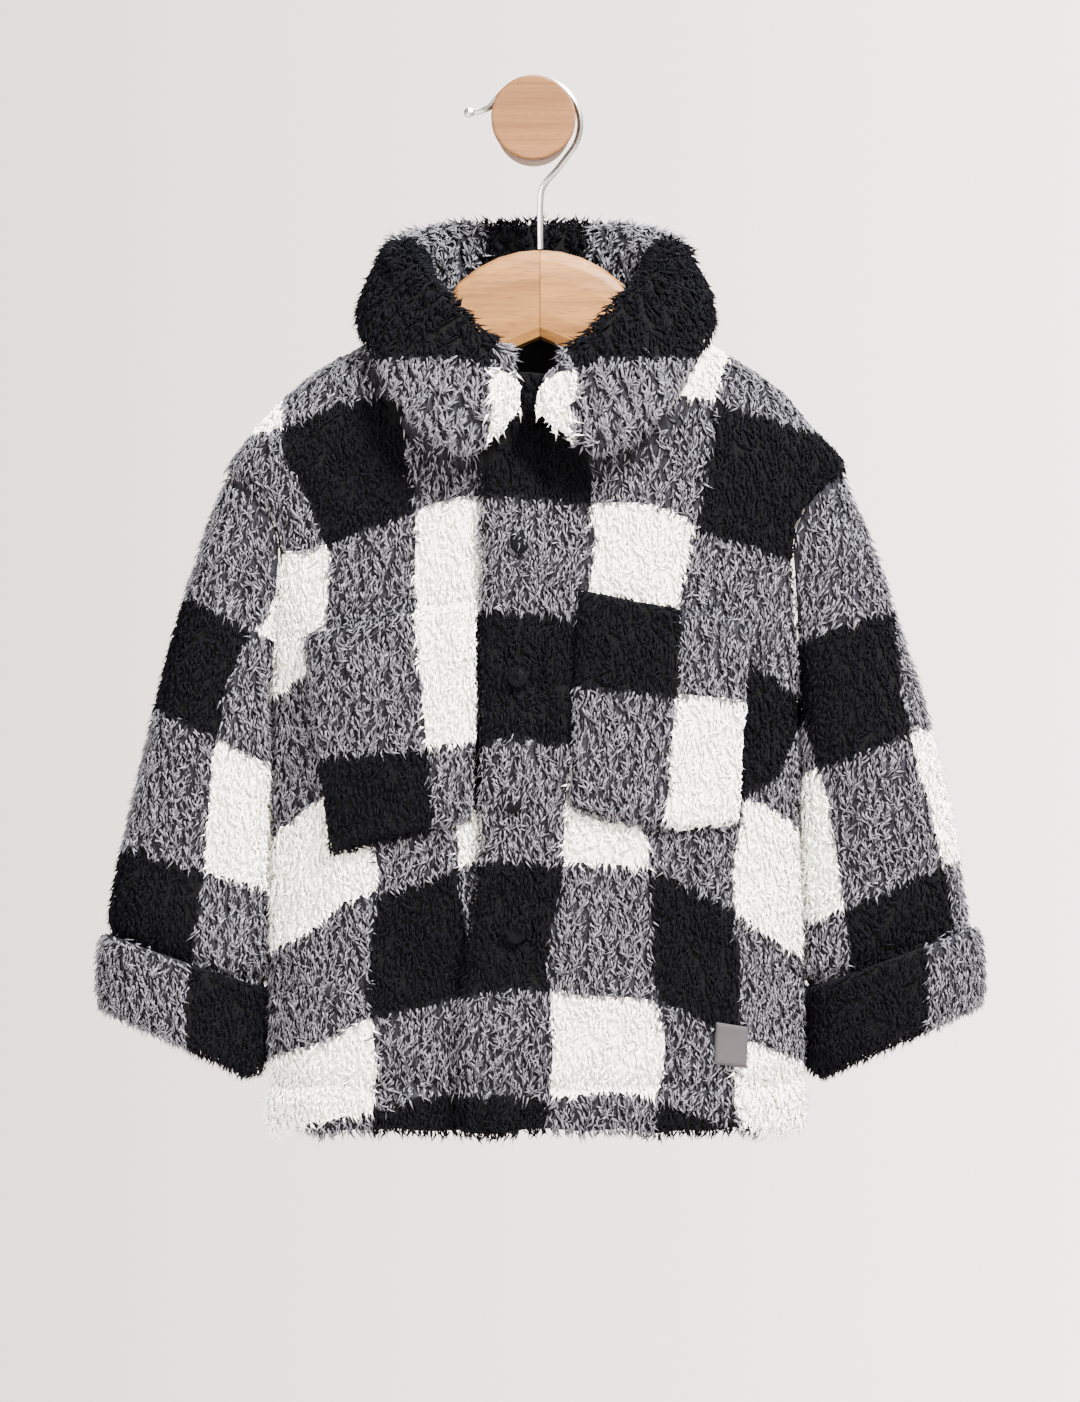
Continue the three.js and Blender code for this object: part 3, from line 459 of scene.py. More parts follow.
def fleece_ground():
    knit = Finish("fleece_ground")
    strands = knit.noise(knit.place((0, 0, 0), (520, 520, 170)), 1.0, 2)
    chance = ((strands - 0.5) * 1.2 + 0.5).clamped()
    both = knit.stored("warp") + knit.stored("weft")
    shadow = knit.mix(both > 1.5, ink("#48474c"), ink("#c8c6c0"))
    colour = knit.mix(1.0, check_colour(knit, chance), shadow, "MULTIPLY")
    return knit.looks(colour, 0.95, strands, 0.8, 0.002, specular_ior_level=0.1)


def fleece_lining():
    knit = Finish("smooth_lining")
    sockets = {"Vector": knit.place(), "Scale": 170.0}
    wales = knit.add("ShaderNodeTexWave", {"bands_direction": "X"}, sockets)
    fuzz = knit.noise(knit.place(), 700.0, 2)
    colour = knit.mix(fuzz, ink("#16161a"), ink("#26262c"))
    return knit.looks(colour, 0.9, wales * 0.5 + fuzz, 0.3, 0.0004, specular_ior_level=0.2)


def fleece_pile(name, contrast):
    """A lock is painted darker towards its root, as the shade down among the locks, and in the marl its tips
    are lighter, partly the yarn's own colour and partly a painted highlight; it is streaked along its length
    like its fibres.
    """
    wool = Finish(name)
    side, tip, strand = (wool.stored(name) for name in ("side", "tip", "strand"))
    along = wool.add("ShaderNodeCombineXYZ", {}, {0: side * 6, 1: tip * 0.9, 2: strand * 60})
    fibres = wool.noise(along, 1.0, 2)
    # In the marl the tips come out lighter: partly the yarn's own colour, partly a painted highlight on the
    # tips
    chance = (strand * 0.25 + (fibres - 0.5) * 2.2 + 0.74 - tip * 0.55).clamped()
    colour = check_colour(wool, chance, contrast)
    # Painted shade: each lock is darkened to 0.6 at its root and brightens to its full colour by 0.7 of its
    # length
    stops = [(0.0, (0.6,) * 3 + (1,)), (0.7, (1, 1, 1, 1))]
    shade = wool.add("ShaderNodeValToRGB", {"stops": stops}, {"Fac": tip})
    colour = wool.mix(1.0, colour, shade, "MULTIPLY")
    return wool.looks(colour, 0.95, fibres, 0.5, 0.0006, specular_ior_level=0.05)


ground, lining = fleece_ground(), fleece_lining()
pile, soft_pile = fleece_pile("fleece_pile", 1.7), fleece_pile("fleece_pile_soft", 1.0)

# One lock of pile: a closed three-sided wisp, pointed at both ends and bent, of 6 triangles
BEND, LOCK_TIP, RING_AT = 1.7, -1.7, 0.33
ring_turns = np.radians([0, 120, 240])
lock_points = [(BEND + np.cos(t), np.sin(t), RING_AT) for t in ring_turns]
lock_points += [(0, 0, 0), (LOCK_TIP, 0, 1)]
lock_faces = [((i + 1) % 3, i, 3) for i in range(3)] + [(i, (i + 1) % 3, 4) for i in range(3)]
lock = bpy.data.objects.new("lock", bpy.data.meshes.new("lock"))
lock.data.from_pydata(lock_points, [], lock_faces)
lock.data.polygons.foreach_set("use_smooth", [True] * len(lock_faces))
write(lock.data, "tip", [0.45, 0.45, 0.45, 0, 1])
write(lock.data, "side", [0, 0.33, 0.67, 0.33, 0.33])
bpy.context.scene.collection.objects.link(lock)


MOST_LOCKS = 900000.0  # on a square metre, above what the spacing lets stand


def pile_tree():
    """Scatters locks over a panel, each lying the way the pile is combed there."""
    tree = bpy.data.node_groups.new("combed_pile", "GeometryNodeTree")
    socket = tree.interface.new_socket
    socket("Geometry", in_out="INPUT", socket_type="NodeSocketGeometry")
    for name in ("Spacing", "Length", "Width", "Lean", "Swirl", "Tuft", "Gather"):
        socket(name, in_out="INPUT", socket_type="NodeSocketFloat")
    socket("Lock", in_out="INPUT", socket_type="NodeSocketObject")
    socket("Finish", in_out="INPUT", socket_type="NodeSocketMaterial")
    socket("Geometry", in_out="OUTPUT", socket_type="NodeSocketGeometry")
    nodes = Nodes(tree)
    given = tree.nodes.new("NodeGroupInput")
    take = {s.name: Strand(nodes, s) for s in given.outputs if s.name}

    def attribute(name, kind="FLOAT"):
        return nodes.add("GeometryNodeInputNamedAttribute", {"data_type": kind}, {"Name": name})

    def vector(how, *ends, output=0):
        return nodes.add("ShaderNodeVectorMath", {"operation": how}, dict(enumerate(ends)), output)

    def times(value, amount):
        return nodes.add("ShaderNodeVectorMath", {"operation": "SCALE"}, {0: value, "Scale": amount})

    def chance(low, high, seed):
        sockets = {2: low, 3: high, "Seed": seed}
        return nodes.add("FunctionNodeRandomValue", {"data_type": "FLOAT"}, sockets, 1)

    def chance_vector(most, seed):
        sockets = {0: (-most,) * 3, 1: (most,) * 3, "Seed": seed}
        return nodes.add("FunctionNodeRandomValue", {"data_type": "FLOAT_VECTOR"}, sockets)

    spread = tree.nodes.new("GeometryNodeDistributePointsOnFaces")
    spread.distribute_method = "POISSON"
    tree.links.new(given.outputs[0], spread.inputs["Mesh"])
    nodes.join(take["Spacing"], spread.inputs["Distance Min"])
    nodes.join(MOST_LOCKS, spread.inputs["Density Max"])
    nodes.join(attribute("thick"), spread.inputs["Density Factor"])
    nodes.join(7, spread.inputs["Seed"])
    points, normal = Strand(nodes, spread.outputs["Points"]), Strand(nodes, spread.outputs["Normal"])
    place = nodes.add("GeometryNodeInputPosition", {}, {})
    swirl = nodes.add("ShaderNodeTexNoise", {}, {"Vector": place, "Scale": 95.0, "Detail": 2.0}, 1)
    swirl = times(vector("SUBTRACT", swirl, (0.5, 0.5, 0.5)), take["Swirl"])
    stray = chance_vector(0.3, 3)
    tuft = nodes.add("ShaderNodeTexVoronoi", {"voronoi_dimensions": "3D"},
                     {"Vector": place, "Scale": 1 / take["Tuft"]}, "Position")
    gather = times(vector("SUBTRACT", tuft, place), take["Gather"] * 2 / take["Tuft"])
    lay = vector("ADD", vector("ADD", attribute("comb", "FLOAT_VECTOR"), swirl), vector("ADD", stray, gather))
    lay = vector("SUBTRACT", lay, times(normal, vector("DOT_PRODUCT", lay, normal, output=1)))
    lean = (take["Lean"] + attribute("stand")) * chance(0.4, 1.6, 5)
    lay = vector("ADD", vector("NORMALIZE", lay), times(normal, lean))
    bend = chance_vector(1.1, 19)
    turn = nodes.add("FunctionNodeAxesToRotation", {"primary_axis": "Z", "secondary_axis": "X"},
                     {"Primary Axis": lay, "Secondary Axis": vector("ADD", normal, bend)})
    width = take["Width"] * chance(0.7, 1.25, 11)
    length = take["Length"] * chance(0.7, 1.2, 13) * (1 + attribute("stand") * 0.2)
    size = nodes.add("ShaderNodeCombineXYZ", {}, {0: width, 1: width, 2: length})
    locks = nodes.add("GeometryNodeObjectInfo", {}, {"Object": take["Lock"]}, "Geometry")
    # Locks that stand up at a rim are rooted deeper, so that no gap shows under them
    deeper = times(normal, attribute("stand") * (-0.8 * MM))
    rooted = nodes.add("GeometryNodeSetPosition", {}, {"Geometry": points, "Offset": deeper})
    placed = nodes.add("GeometryNodeInstanceOnPoints", {}, {
        "Points": rooted, "Instance": locks, "Rotation": turn, "Scale": size})
    marked = nodes.add("GeometryNodeStoreNamedAttribute", {"data_type": "FLOAT", "domain": "INSTANCE"}, {
        "Geometry": placed, "Name": "strand", "Value": chance(0.0, 1.0, 17)})
    real = nodes.add("GeometryNodeRealizeInstances", {}, {"Geometry": marked})
    done = nodes.add("GeometryNodeSetMaterial", {}, {"Geometry": real, "Material": take["Finish"]})
    ends = tree.nodes.new("NodeGroupOutput")
    tree.links.new(done.socket, ends.inputs[0])
    return tree


combed_pile = pile_tree()


def evaluated(piece, name):
    """The piece's modifiers made plain mesh, in a new object."""
    graph = bpy.context.evaluated_depsgraph_get()
    mesh = bpy.data.meshes.new_from_object(piece.evaluated_get(graph), depsgraph=graph)
    mesh.name = name
    result = bpy.data.objects.new(name, mesh)
    bpy.context.scene.collection.objects.link(result)
    bpy.data.objects.remove(piece)
    return result


def comb_down(normals, outward):
    """Pile hangs down the cloth, and a little outwards where the cloth is level."""
    down = np.array([0, 0, -1.0])
    flat = down - normals * (normals @ down)[..., None]
    level = normals * np.array([1, 1, 0])
    return unit(flat + outward * level)


def pile_on(name, grid, normals, chart, thick=1.0, ring=False, outward=0.12, stand=0.0, spacing=1.06,
            length=5.6, width=0.58, lean=0.26, swirl=2.6, tuft=5.0, gather=0.55, finish=pile):
    """A panel's pile: locks scattered over its ground, as one plain mesh."""
    rows, columns = grid.shape[:2]
    turned = (grid_normals(grid) * normals).sum() < 0
    seed = new_piece(name + "_seed", grid, grid_faces(rows, columns, ring, turned))
    stand = stand + 0.5 * smooth(0.75, 1, np.abs(normals[..., 0]))
    stand = stand + smooth(0.15, 0.8, -normals[..., 2])
    for part, values in zip(("warp", "weft", "thick", "stand"), (*chart, thick, stand)):
        write(seed.data, part, np.broadcast_to(values, (rows, columns)))
    write(seed.data, "comb", comb_down(normals, outward), "FLOAT_VECTOR")
    growth = seed.modifiers.new("pile", "NODES")
    growth.node_group = combed_pile
    sizes = {"Spacing": spacing * MM, "Length": length * MM, "Width": width * MM, "Lean": lean,
             "Swirl": swirl, "Tuft": tuft * MM, "Gather": gather, "Lock": lock, "Finish": finish}
    for item in combed_pile.interface.items_tree:
        if item.name in sizes:
            growth[item.identifier] = sizes[item.name]
    piece = evaluated(seed, name)
    spread_locks(piece.data)
    return piece


def spread_locks(mesh):
    """A UV cell for each lock, with its root at the bottom and its tip at the top."""
    locks = len(mesh.vertices) // len(lock_points)
    side = int(np.ceil(np.sqrt(locks)))
    cell = []
    for i in range(3):
        cell += [((i + 1) / 3, RING_AT), (i / 3, RING_AT), ((i + 0.5) / 3, 0)]
    for i in range(3):
        cell += [(i / 3, RING_AT), ((i + 1) / 3, RING_AT), ((i + 0.5) / 3, 1)]
    cell = np.array(cell) * 0.8 + 0.1
    where = np.arange(locks)
    start = np.stack([where % side, where // side], -1)
    uv = (start[:, None, :] + cell[None]) / side
    layer = mesh.uv_layers.new(name="OFBake")
    layer.data.foreach_set("uv", uv.astype(np.float32).ravel())


def dress(piece, slot, *nodes):
    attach(piece, "root")
    if nodes:
        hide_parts(*nodes)


levels, parts, middle = panel_rows(4.2)
cut = armhole_cut(middle, 2)[:, None]
angles = 180 + cut + (180 - 2 * cut) * np.linspace(0, 1, 70)[None]
outer, inner, normals = panel_grids(angles, levels, parts, "back")
x, z = outer[..., 0] - MIDDLE, outer[..., 2]
chart = (banded(x, (-124, -76, -26, 26, 76, 124)),
         banded(-z - 0.0009 * x * x, (112, 168, 226, 284, 342, 400, 455)))
back = cloth_shell("back_cloth", outer, inner, chart)
back_pile = pile_on("back_pile", outer, normals, chart, spacing=1.4, length=5.6, width=0.66)
dress(back, "fleece", "back")
dress(back_pile, "fleece")

# Fronts: two panels like the back's. The wearer's left one laps over the right one down
# the middle, with a row of stitching a placket's width from its free edge.

# z of each point, and x of each boundary between the check's columns there
LINE_1 = np.array([
    (-434.8, -75.7), (-378.4, -75.7), (-322.1, -78), (-265.6, -96.8), (-209.2, -99.2), (-159.9, -118)])
LINE_2 = np.array([
    (-434.8, -38.1), (-387.8, -31), (-336.1, -38.1), (-275.1, -49.8), (-209.2, -56.9), (-159.9, -60.6)])
LINE_3 = np.array([
    (-434.8, 5.6), (-378.4, 8.9), (-322.1, 14.6), (-265.6, 19.3), (-209.2, 25.4), (-159.9, 25.4)])
LINE_4 = np.array([
    (-439.5, 58.3), (-387.8, 55.9), (-336.1, 51.2), (-275.1, 63), (-209.2, 72.4), (-159.9, 79.4), (-115, 92)])
LINE_5 = np.array([
    (-378.4, 93.5), (-322.1, 96), (-310, 113), (-275.1, 126), (-209.2, 142), (-159.9, 152)])
# z of the rows' boundaries at the middle of the front, and how fast they drop sideways
ROWS = [(-129.3, 0.001), (-178.7, 0.0021), (-232.7, 0.0025), (-294.8, 0.0028), (-349.3, 0.0028),
        (-409, 0.0024), (-457.4, 0.0016)]
# x and z where the collar's free edge presses the pile flat, from the side to the front
LEAF_EDGE = np.array([(82, -101), (76, -120), (64.5, -141), (48, -157), (29, -166), (14, -152)])
# x and z of the press studs; the pile above each one stands over its upper edge
STUDS = [(-7.5, -202.2), (-8.5, -264.7), (-11.3, -323.5), (-9.5, -384.1)]


def front_chart(point, layer):
    x, z = point[..., 0] - MIDDLE, point[..., 2]
    x, z = x + drift(z, x), z + drift(x, z)
    lines = (LINE_3, LINE_4, LINE_5) if layer == "upper" else (LINE_1, LINE_2)
    warp = banded(x, [table_value(line, 1, z) for line in lines], first_light=layer == "lower")
    weft = banded(-z, [drop * x * x - level for level, drop in ROWS])
    # Black in a strip under the neckline near the middle: partly the dark inside of the neck, partly painted
    # shade in the neck opening
    dark = smooth(-137, -133, z) * (np.abs(x) < 38)
    if layer == "lower":
        # Painted shade: on the lower front, the strip that shows between the pocket and the placket's edge is
        # painted black, as the shadow in that crevice
        dark = np.maximum(dark, (x > -36) * smooth(-328, -324, z) * (z < -290))
        warp = warp * (1 - (x > -48) * (z < -400))
    return warp * (1 - dark), weft * (1 - dark)


def front_grids(layer):
    levels, parts, middle = panel_rows(3.2)
    edge = table_value(FREE_EDGE, 1, middle)
    steps = np.arange(0.8, 43, 2.6) if layer == "upper" else np.arange(UNDERLAP, -15, -3.0)
    near = angle_at(edge[:, None] + steps[None], middle[:, None])
    cut = armhole_cut(middle, 1)
    side = cut if layer == "upper" else 180 - cut
    far = near[:, -1:] + (side[:, None] - near[:, -1:]) * np.linspace(0, 1, 36)[None, 1:]
    return panel_grids(np.concatenate([near, far], 1), levels, parts, layer)


for layer, name in (("upper", "front_left"), ("lower", "front_right")):
    outer, inner, normals = front_grids(layer)
    chart = front_chart(outer, layer)
    cloth = cloth_shell(f"{name}_cloth", outer, inner, chart)
    hidden = outer[..., 0] - MIDDLE - table_value(FREE_EDGE, 1, outer[..., 2])
    thick = np.ones(outer.shape[:2]) if layer == "upper" else np.where(hidden > 1, 0.0, 1.0)
    thick[:, -1] = 0.1  # the seams at the armhole and the side hold the pile down
    x, z = outer[..., 0] - MIDDLE, outer[..., 2]
    corners = np.linspace(0, 1, len(LEAF_EDGE))
    leaf = np.stack([np.interp(np.linspace(0, 1, 60), corners, LEAF_EDGE[:, k]) for k in (0, 1)], 1)
    from_leaf = np.min(np.hypot(np.abs(x)[..., None] - leaf[:, 0], z[..., None] - leaf[:, 1]), axis=-1)
    thick = thick * smooth(1.5, 4.0, from_leaf)
    raised = outer
    if layer == "upper":
        for x, z in STUDS:
            away = np.hypot(outer[..., 0] - MIDDLE - x, (outer[..., 2] - z - 3.0) * 1.2)
            raised = raised + normals * (5.4 * bump(away, 5.2))[..., None]
    locks = pile_on(f"{name}_pile", raised, normals, chart, thick)
    dress(cloth, "fleece", name)
    dress(locks, "fleece")

# Sleeves: each is one panel closed under the arm and set into the armhole, wide down to
# the elbow and narrower where the cuff begins. Pile and check are the body's.

# Seen from the front: the right one's outer point, the left one's, the inner point of both,
# the middle of the depth and half of it
SLEEVES = np.array([
    (150, -178, 149.6, -178, 128, -279, -1.5, 24.5), (155.4, -192, 155.6, -192, 127, -292, -1, 26.5),
    (162, -212, 163.4, -212, 126.2, -309, -0.5, 28), (170, -239, 171.6, -239, 125.8, -329, 0, 28.5),
    (178.4, -271, 182, -271, 125.8, -349, 0.5, 28.5), (186.4, -303, 190.6, -303, 126, -368, 1, 28),
    (193.6, -335, 197.8, -335, 126.4, -385, 1, 27.5), (200, -362, 201.4, -360, 126.8, -398, 1, 27),
    (202, -377, 204, -373, 127.6, -405, 1, 26.5), (200, -387, 203.4, -384, 132, -411, 1, 24.5),
    (200.4, -401, 204.6, -399, 134.2, -428, 1, 24), (201.4, -414, 205.8, -412.5, 134.4, -444, 1, 24)])
SLEEVE_POWER = 2.2
ARMHOLE_FADE = [0.62, 0.3, 0.1]  # how much of the armhole's form the first rings keep
CUFF_FROM = 10.3  # the ring from which the cuff hides the sleeve
# Ring and turn of each soft crease, its reach down the sleeve and round it, and its depth
CREASES = [
    (3.4, 95, 1.6, 40, -1.8), (5.6, 60, 1.1, 45, 1.6), (6.6, 120, 0.9, 50, -2.2), (8.0, 70, 0.8, 60, 1.6),
    (4.4, 270, 1.5, 45, -2.0), (6.8, 250, 1.0, 50, 1.8), (7.6, 300, 0.8, 45, -1.8), (5.2, 180, 0.8, 40, -1.6)]


def armhole_loop(side):
    z = np.concatenate([ARMHOLE[::-1, 0], ARMHOLE[1:-1, 0]])
    cut = np.concatenate([ARMHOLE[::-1, 1], -ARMHOLE[1:-1, 2]])
    angle = cut if side > 0 else 180 - cut
    points = body_point(angle, z)
    opening = body_point(0 if side > 0 else 180, np.array((ARMPIT_Z + SHOULDER_TIP_Z) / 2))
    away = unit(np.cross(np.roll(points, -1, 0) - np.roll(points, 1, 0), body_normal(angle, z)))
    away *= np.sign(np.einsum("ij,ij->i", away, opening - points))[:, None]
    return points + away * 0.4


def sleeve_rings(side):
    rows = np.hstack([SLEEVES[:, 2:4] if side > 0 else SLEEVES[:, :2], SLEEVES[:, 4:]])
    loop = armhole_loop(side)
    half = len(loop) // 2
    along = np.append(0, np.cumsum(np.linalg.norm(np.diff(loop, axis=0), axis=1)))
    girth = along[-1] + np.linalg.norm(loop[0] - loop[-1])
    turn = np.pi * np.where(along <= along[half], along / along[half],
                            1 + (along - along[half]) / (girth - along[half]))
    front = np.array([0, -1.0, 0])
    middle, reach = (loop[0] + loop[half]) / 2, (loop[0] - loop[half]) / 2
    off = loop - middle
    own = (off @ reach / (reach @ reach), off @ front, off @ unit(np.cross(reach, front)))
    rings = [loop]
    for k, (out_x, out_z, in_x, in_z, mid, depth) in enumerate(rows):
        keep = ARMHOLE_FADE[k] if k < len(ARMHOLE_FADE) else 0
        out = np.array([MIDDLE + side * out_x, mid, out_z])
        inside = np.array([MIDDLE + side * in_x, mid, in_z])
        middle, reach = (out + inside) / 2, (out - inside) / 2
        round_reach = signed_power(np.cos(turn), 2 / SLEEVE_POWER)
        round_depth = depth * signed_power(np.sin(turn), 2 / SLEEVE_POWER)
        rings.append(middle + reach * (round_reach + (own[0] - round_reach) * keep)[:, None]
                     + front * (round_depth + (own[1] - round_depth) * keep)[:, None]
                     + unit(np.cross(reach, front)) * (own[2] * keep)[:, None])
    return np.array(rings)


def finer(grid, by_rows, by_columns, closed_rows=False, closed_columns=False):
    """The same surface through more points, smooth both ways."""
    def spline(points, by, closed):
        count = len(points)
        at = np.arange(count * by) / by if closed else np.linspace(0, count - 1, (count - 1) * by + 1)
        i = np.floor(at).astype(int) if closed else np.minimum(np.floor(at).astype(int), count - 2)
        t = (at - i)[:, None, None]
        a, b, c, d = (points[(i + k) % count] if closed else points[np.clip(i + k, 0, count - 1)]
                      for k in (-1, 0, 1, 2))
        square, cube = 2 * a - 5 * b + 4 * c - d, 3 * b - a - 3 * c + d
        return 0.5 * (2 * b + (c - a) * t + square * t ** 2 + cube * t ** 3)
    grid = spline(grid, by_rows, closed_rows)
    return spline(grid.transpose(1, 0, 2), by_columns, closed_columns).transpose(1, 0, 2)


def sleeve_chart(point, side):
    x, z = (point[..., 0] - MIDDLE) * side, point[..., 2]
    if side < 0:
        lines = [[(-392.6, 162.6), (-345.5, 155.6), (-298.5, 150.9), (-252, 139), (-236, 127),
                  (-215, 117), (-181, 100)]]
        rows = [(167.3, -223.3, 0.54), (181.4, -277.4, 0.5), (194.6, -343.2, 0.31), (202.6, -390.2, 0.3)]
    else:
        lines = [[(-392.6, 147.6), (-345.5, 140.5), (-275, 126), (-180, 100)],
                 [(-369.1, 196.9), (-312.7, 182.8), (-275.1, 173.4), (-228.1, 168.7)]]
        rows = [(164, -232.8, 0.33), (173.4, -291.5, 0.38), (196.9, -350.2, 0.43), (199.3, -387.8, 0.4)]
    warp = banded(x, [table_value(np.array(line), 1, z) for line in lines])
    weft = banded(-z, [drop * (at - x) - level for at, level, drop in rows])
    return warp, weft


coarse_rings = {}
for side, name in ((1, "sleeve_left"), (-1, "sleeve_right")):
    coarse_rings[side] = sleeve_rings(side)
    rings = finer(coarse_rings[side], 5, 4, closed_columns=True)
    normals = grid_normals(rings, closed_columns=True) * side
    ring_at, turn_at = np.mgrid[0:rings.shape[0], 0:rings.shape[1]]
    ring_at, turn_at = ring_at / 5, turn_at * 360 / rings.shape[1]
    lift = np.zeros(rings.shape[:2])
    for ring, turn, reach, width, depth in CREASES:
        away = (turn_at - turn + 180) % 360 - 180
        lift += depth * bump(ring_at - ring - away * 0.012, reach) * bump(away, width)
    rings = rings + normals * lift[..., None]
    chart = [part * (ring_at < CUFF_FROM) for part in sleeve_chart(rings, side)]
    sunk = PILE * (1 - 0.9 * smooth(0.5, 0.9, -normals[..., 0] * side))
    outer, inner = rings - normals * sunk[..., None], rings - normals * CLOTH
    cloth = cloth_shell(f"{name}_cloth", outer, inner, chart, ring=True)
    thick = np.where(ring_at > CUFF_FROM, 0.0, np.where(ring_at < 0.3, 0.2, 1.0))
    locks = pile_on(f"{name}_pile", outer, normals, chart, thick, ring=True)
    dress(cloth, "fleece", name)
    dress(locks, "fleece")

# Cuffs: the end of each sleeve is turned up once outside it, so a soft thick band of pile
# stands round the wrist with its fold at the bottom. It is held by a few hidden stitches.

CUFF_RINGS, CUFF_LIFT, CUFF_FOLD, SEAM = 3, 6.8, 8.5, 0.3


def cuff_section(rings, normals):
    """Closed loops round the cuff: which ring each stands on, how far out and how far past."""
    end = len(rings) - 1
    top = end - CUFF_RINGS + 1
    section = [
        (top, SEAM + 0.2, 0), (top, CUFF_LIFT * 0.62, -1.6), (top, CUFF_LIFT * 0.98, 2),
        (top + 1, CUFF_LIFT * 1.12, 0), (end, CUFF_LIFT, 0),
        (end, CUFF_LIFT * 0.55, CUFF_FOLD * 0.78), (end, -CLOTH * 0.35, CUFF_FOLD),
        (end, -CLOTH * 0.85, CUFF_FOLD * 0.7), (end, -CLOTH, SEAM + 0.2), (end, SEAM + 0.2, SEAM + 0.2),
        (top + 1, SEAM + 0.2, 0)]
    down = unit(rings[end] - rings[end - 1])
    return np.array([rings[ring] + normals[ring] * lift + down * past for ring, lift, past in section])


for side, name in ((1, "cuff_left"), (-1, "cuff_right")):
    rings = coarse_rings[side]
    section = cuff_section(rings, grid_normals(rings, closed_columns=True) * side)
    grid = finer(section, 5, 4, True, True)
    normals = grid_normals(grid, True, True)
    row_at = np.arange(len(grid)) / 5
    exposed = smooth(0.2, 0.8, row_at) * (1 - smooth(7.2, 7.8, row_at))
    middle = grid.mean(axis=0, keepdims=True)
    if ((grid - middle) * normals).sum() < 0:
        normals = -normals
    ground_grid = grid - normals * (0.3 + (PILE - 0.3) * exposed)[:, None, None]
    faces = grid_faces(*grid.shape[:2], ring=True, closed_rows=True)
    faces = outward(ground_grid.reshape(-1, 3), faces)
    cuff = new_piece(f"{name}_cloth", ground_grid, faces, (ground,))
    warp = past((grid[..., 0] - MIDDLE) * side, 184.2 if side > 0 else 164)
    for part, values in (("warp", warp), ("weft", np.zeros_like(warp))):
        write(cuff.data, part, values)
    shown = slice(0, 40)  # the rows outside the sleeve and round the fold
    locks = pile_on(f"{name}_pile", ground_grid[shown], normals[shown], (warp[shown], 0 * warp[shown]),
                    exposed[shown, None], ring=True)
    dress(cuff, "fleece", name)
    dress(locks, "fleece")

# Collar: an upper and an under collar of the same fleece, sewn round their edge, turned
# and sewn to the neckline. It stands up round the neck, rolls over and falls in two leaves.

COLLAR_CLOTH, COLLAR_STATIONS, COLLAR_END, LEFT_SWING = 9.0, 15, 172, 1.65
# turn from the middle of the back, the crown of the roll, the free edge, gap and swing
COLLAR = np.array([
    (0, 0, 31, -50.5, 0, 44, -103, 7, 0), (28, 28, 29, -51, 31, 42, -104, 7, 0),
    (58, 50, 20, -54, 62, 31, -102, 7, 0), (86, 63, 3, -61, 78, 9, -95, 7, 0),
    (108, 60, -17, -70, 79.5, -17, -101.5, 7, 0),
    (128, 51, -34, -81, 72, -37, -118, 6.5, 0), (146, 40, -45, -93, 61, -50, -138, 5.5, 0),
    (160, 26, -50, -108, 46, -54, -153, 4, 3), (172, 12, -51, -117, 30, -54.5, -160, 3, 12)])


def collar_section(turn, side):
    """The middle of the collar's cloth, from the neck seam up, over the roll and down."""
    roll_x, roll_y, roll_z, edge_x, edge_y, edge_z, gap, swing = (
        table_value(COLLAR, k, np.array(float(turn))) for k in range(1, 9))
    angle = np.array(270.0 + side * turn)
    z = neck_z(angle)
    seam = panel_point(angle, z, "back" if turn < 90 else "upper" if side > 0 else "lower")
    roll = np.array([MIDDLE + side * roll_x, roll_y, roll_z])
    edge = np.array([MIDDLE + side * edge_x, edge_y, edge_z])
    out = roll - (seam * 0.8 + np.array([MIDDLE, 0, z]) * 0.2)
    out[2] = 0
    out = unit(out)
    start = seam - out * COLLAR_CLOTH / 2
    start[2] += 2.5 + COLLAR_CLOTH / 2 * (1 - smooth(0, 25, max(0.0, roll_z - seam[2])))
    heel, brow = roll - out * gap, roll + out * gap
    heel[2] -= gap
    brow[2] -= gap
    corner = [roll + out * k * gap * 0.72 - np.array([0, 0, gap * 0.3]) for k in (-1, 1)]
    fall = []
    for part in (0.25, 0.5, 0.75, 0.92, 1):
        middle = np.sin(np.pi * part)
        point = brow + (edge - brow) * part + out * 3 * middle
        point[0] -= side * swing * middle * (LEFT_SWING if side > 0 else 1)
        point[1] -= 3.0 * part * smooth(105, 140, turn)
        fall.append(point)
    return [start, (start + heel) / 2, heel, corner[0], roll, corner[1], brow, *fall]


stations = []
for i in range(-COLLAR_STATIONS, COLLAR_STATIONS + 1):
    stations.append(collar_section(COLLAR_END * abs(i) / COLLAR_STATIONS, -1 if i < 0 else 1))
grid = finer(np.array(stations), 5, 5)
normals = grid_normals(grid)
if normals[len(grid) // 2, -8, 1] < 0:
    normals = -normals
run = np.linalg.norm(np.diff(grid, axis=1), axis=2)
from_edge = np.append(np.cumsum(run[:, ::-1], axis=1)[:, ::-1], np.zeros((len(grid), 1)), axis=1)
round_neck = np.cumsum(np.linalg.norm(np.diff(grid, axis=0), axis=2), axis=0)
steps = np.append(np.zeros((1, grid.shape[1])), round_neck, 0)
from_end = np.minimum(steps, steps[-1:] - steps)
near = np.clip(np.minimum(from_edge, from_end) / 5, 0.02, 1)
round_off = np.sqrt(1 - (1 - near) ** 2) * 0.85 + 0.15
half = (COLLAR_CLOTH / 2 - PILE * 0.8) * round_off
outer, inner = grid + normals * half[..., None], grid - normals * half[..., None]
turn_at = np.abs(np.linspace(-COLLAR_END, COLLAR_END, len(grid)))[:, None] + 0 * from_edge
warp = banded(turn_at, (26, 82), first_light=False, blur=5)
over = grid[..., 0] - MIDDLE
corner_line = np.where(over < 0, -21.5, 17.5)
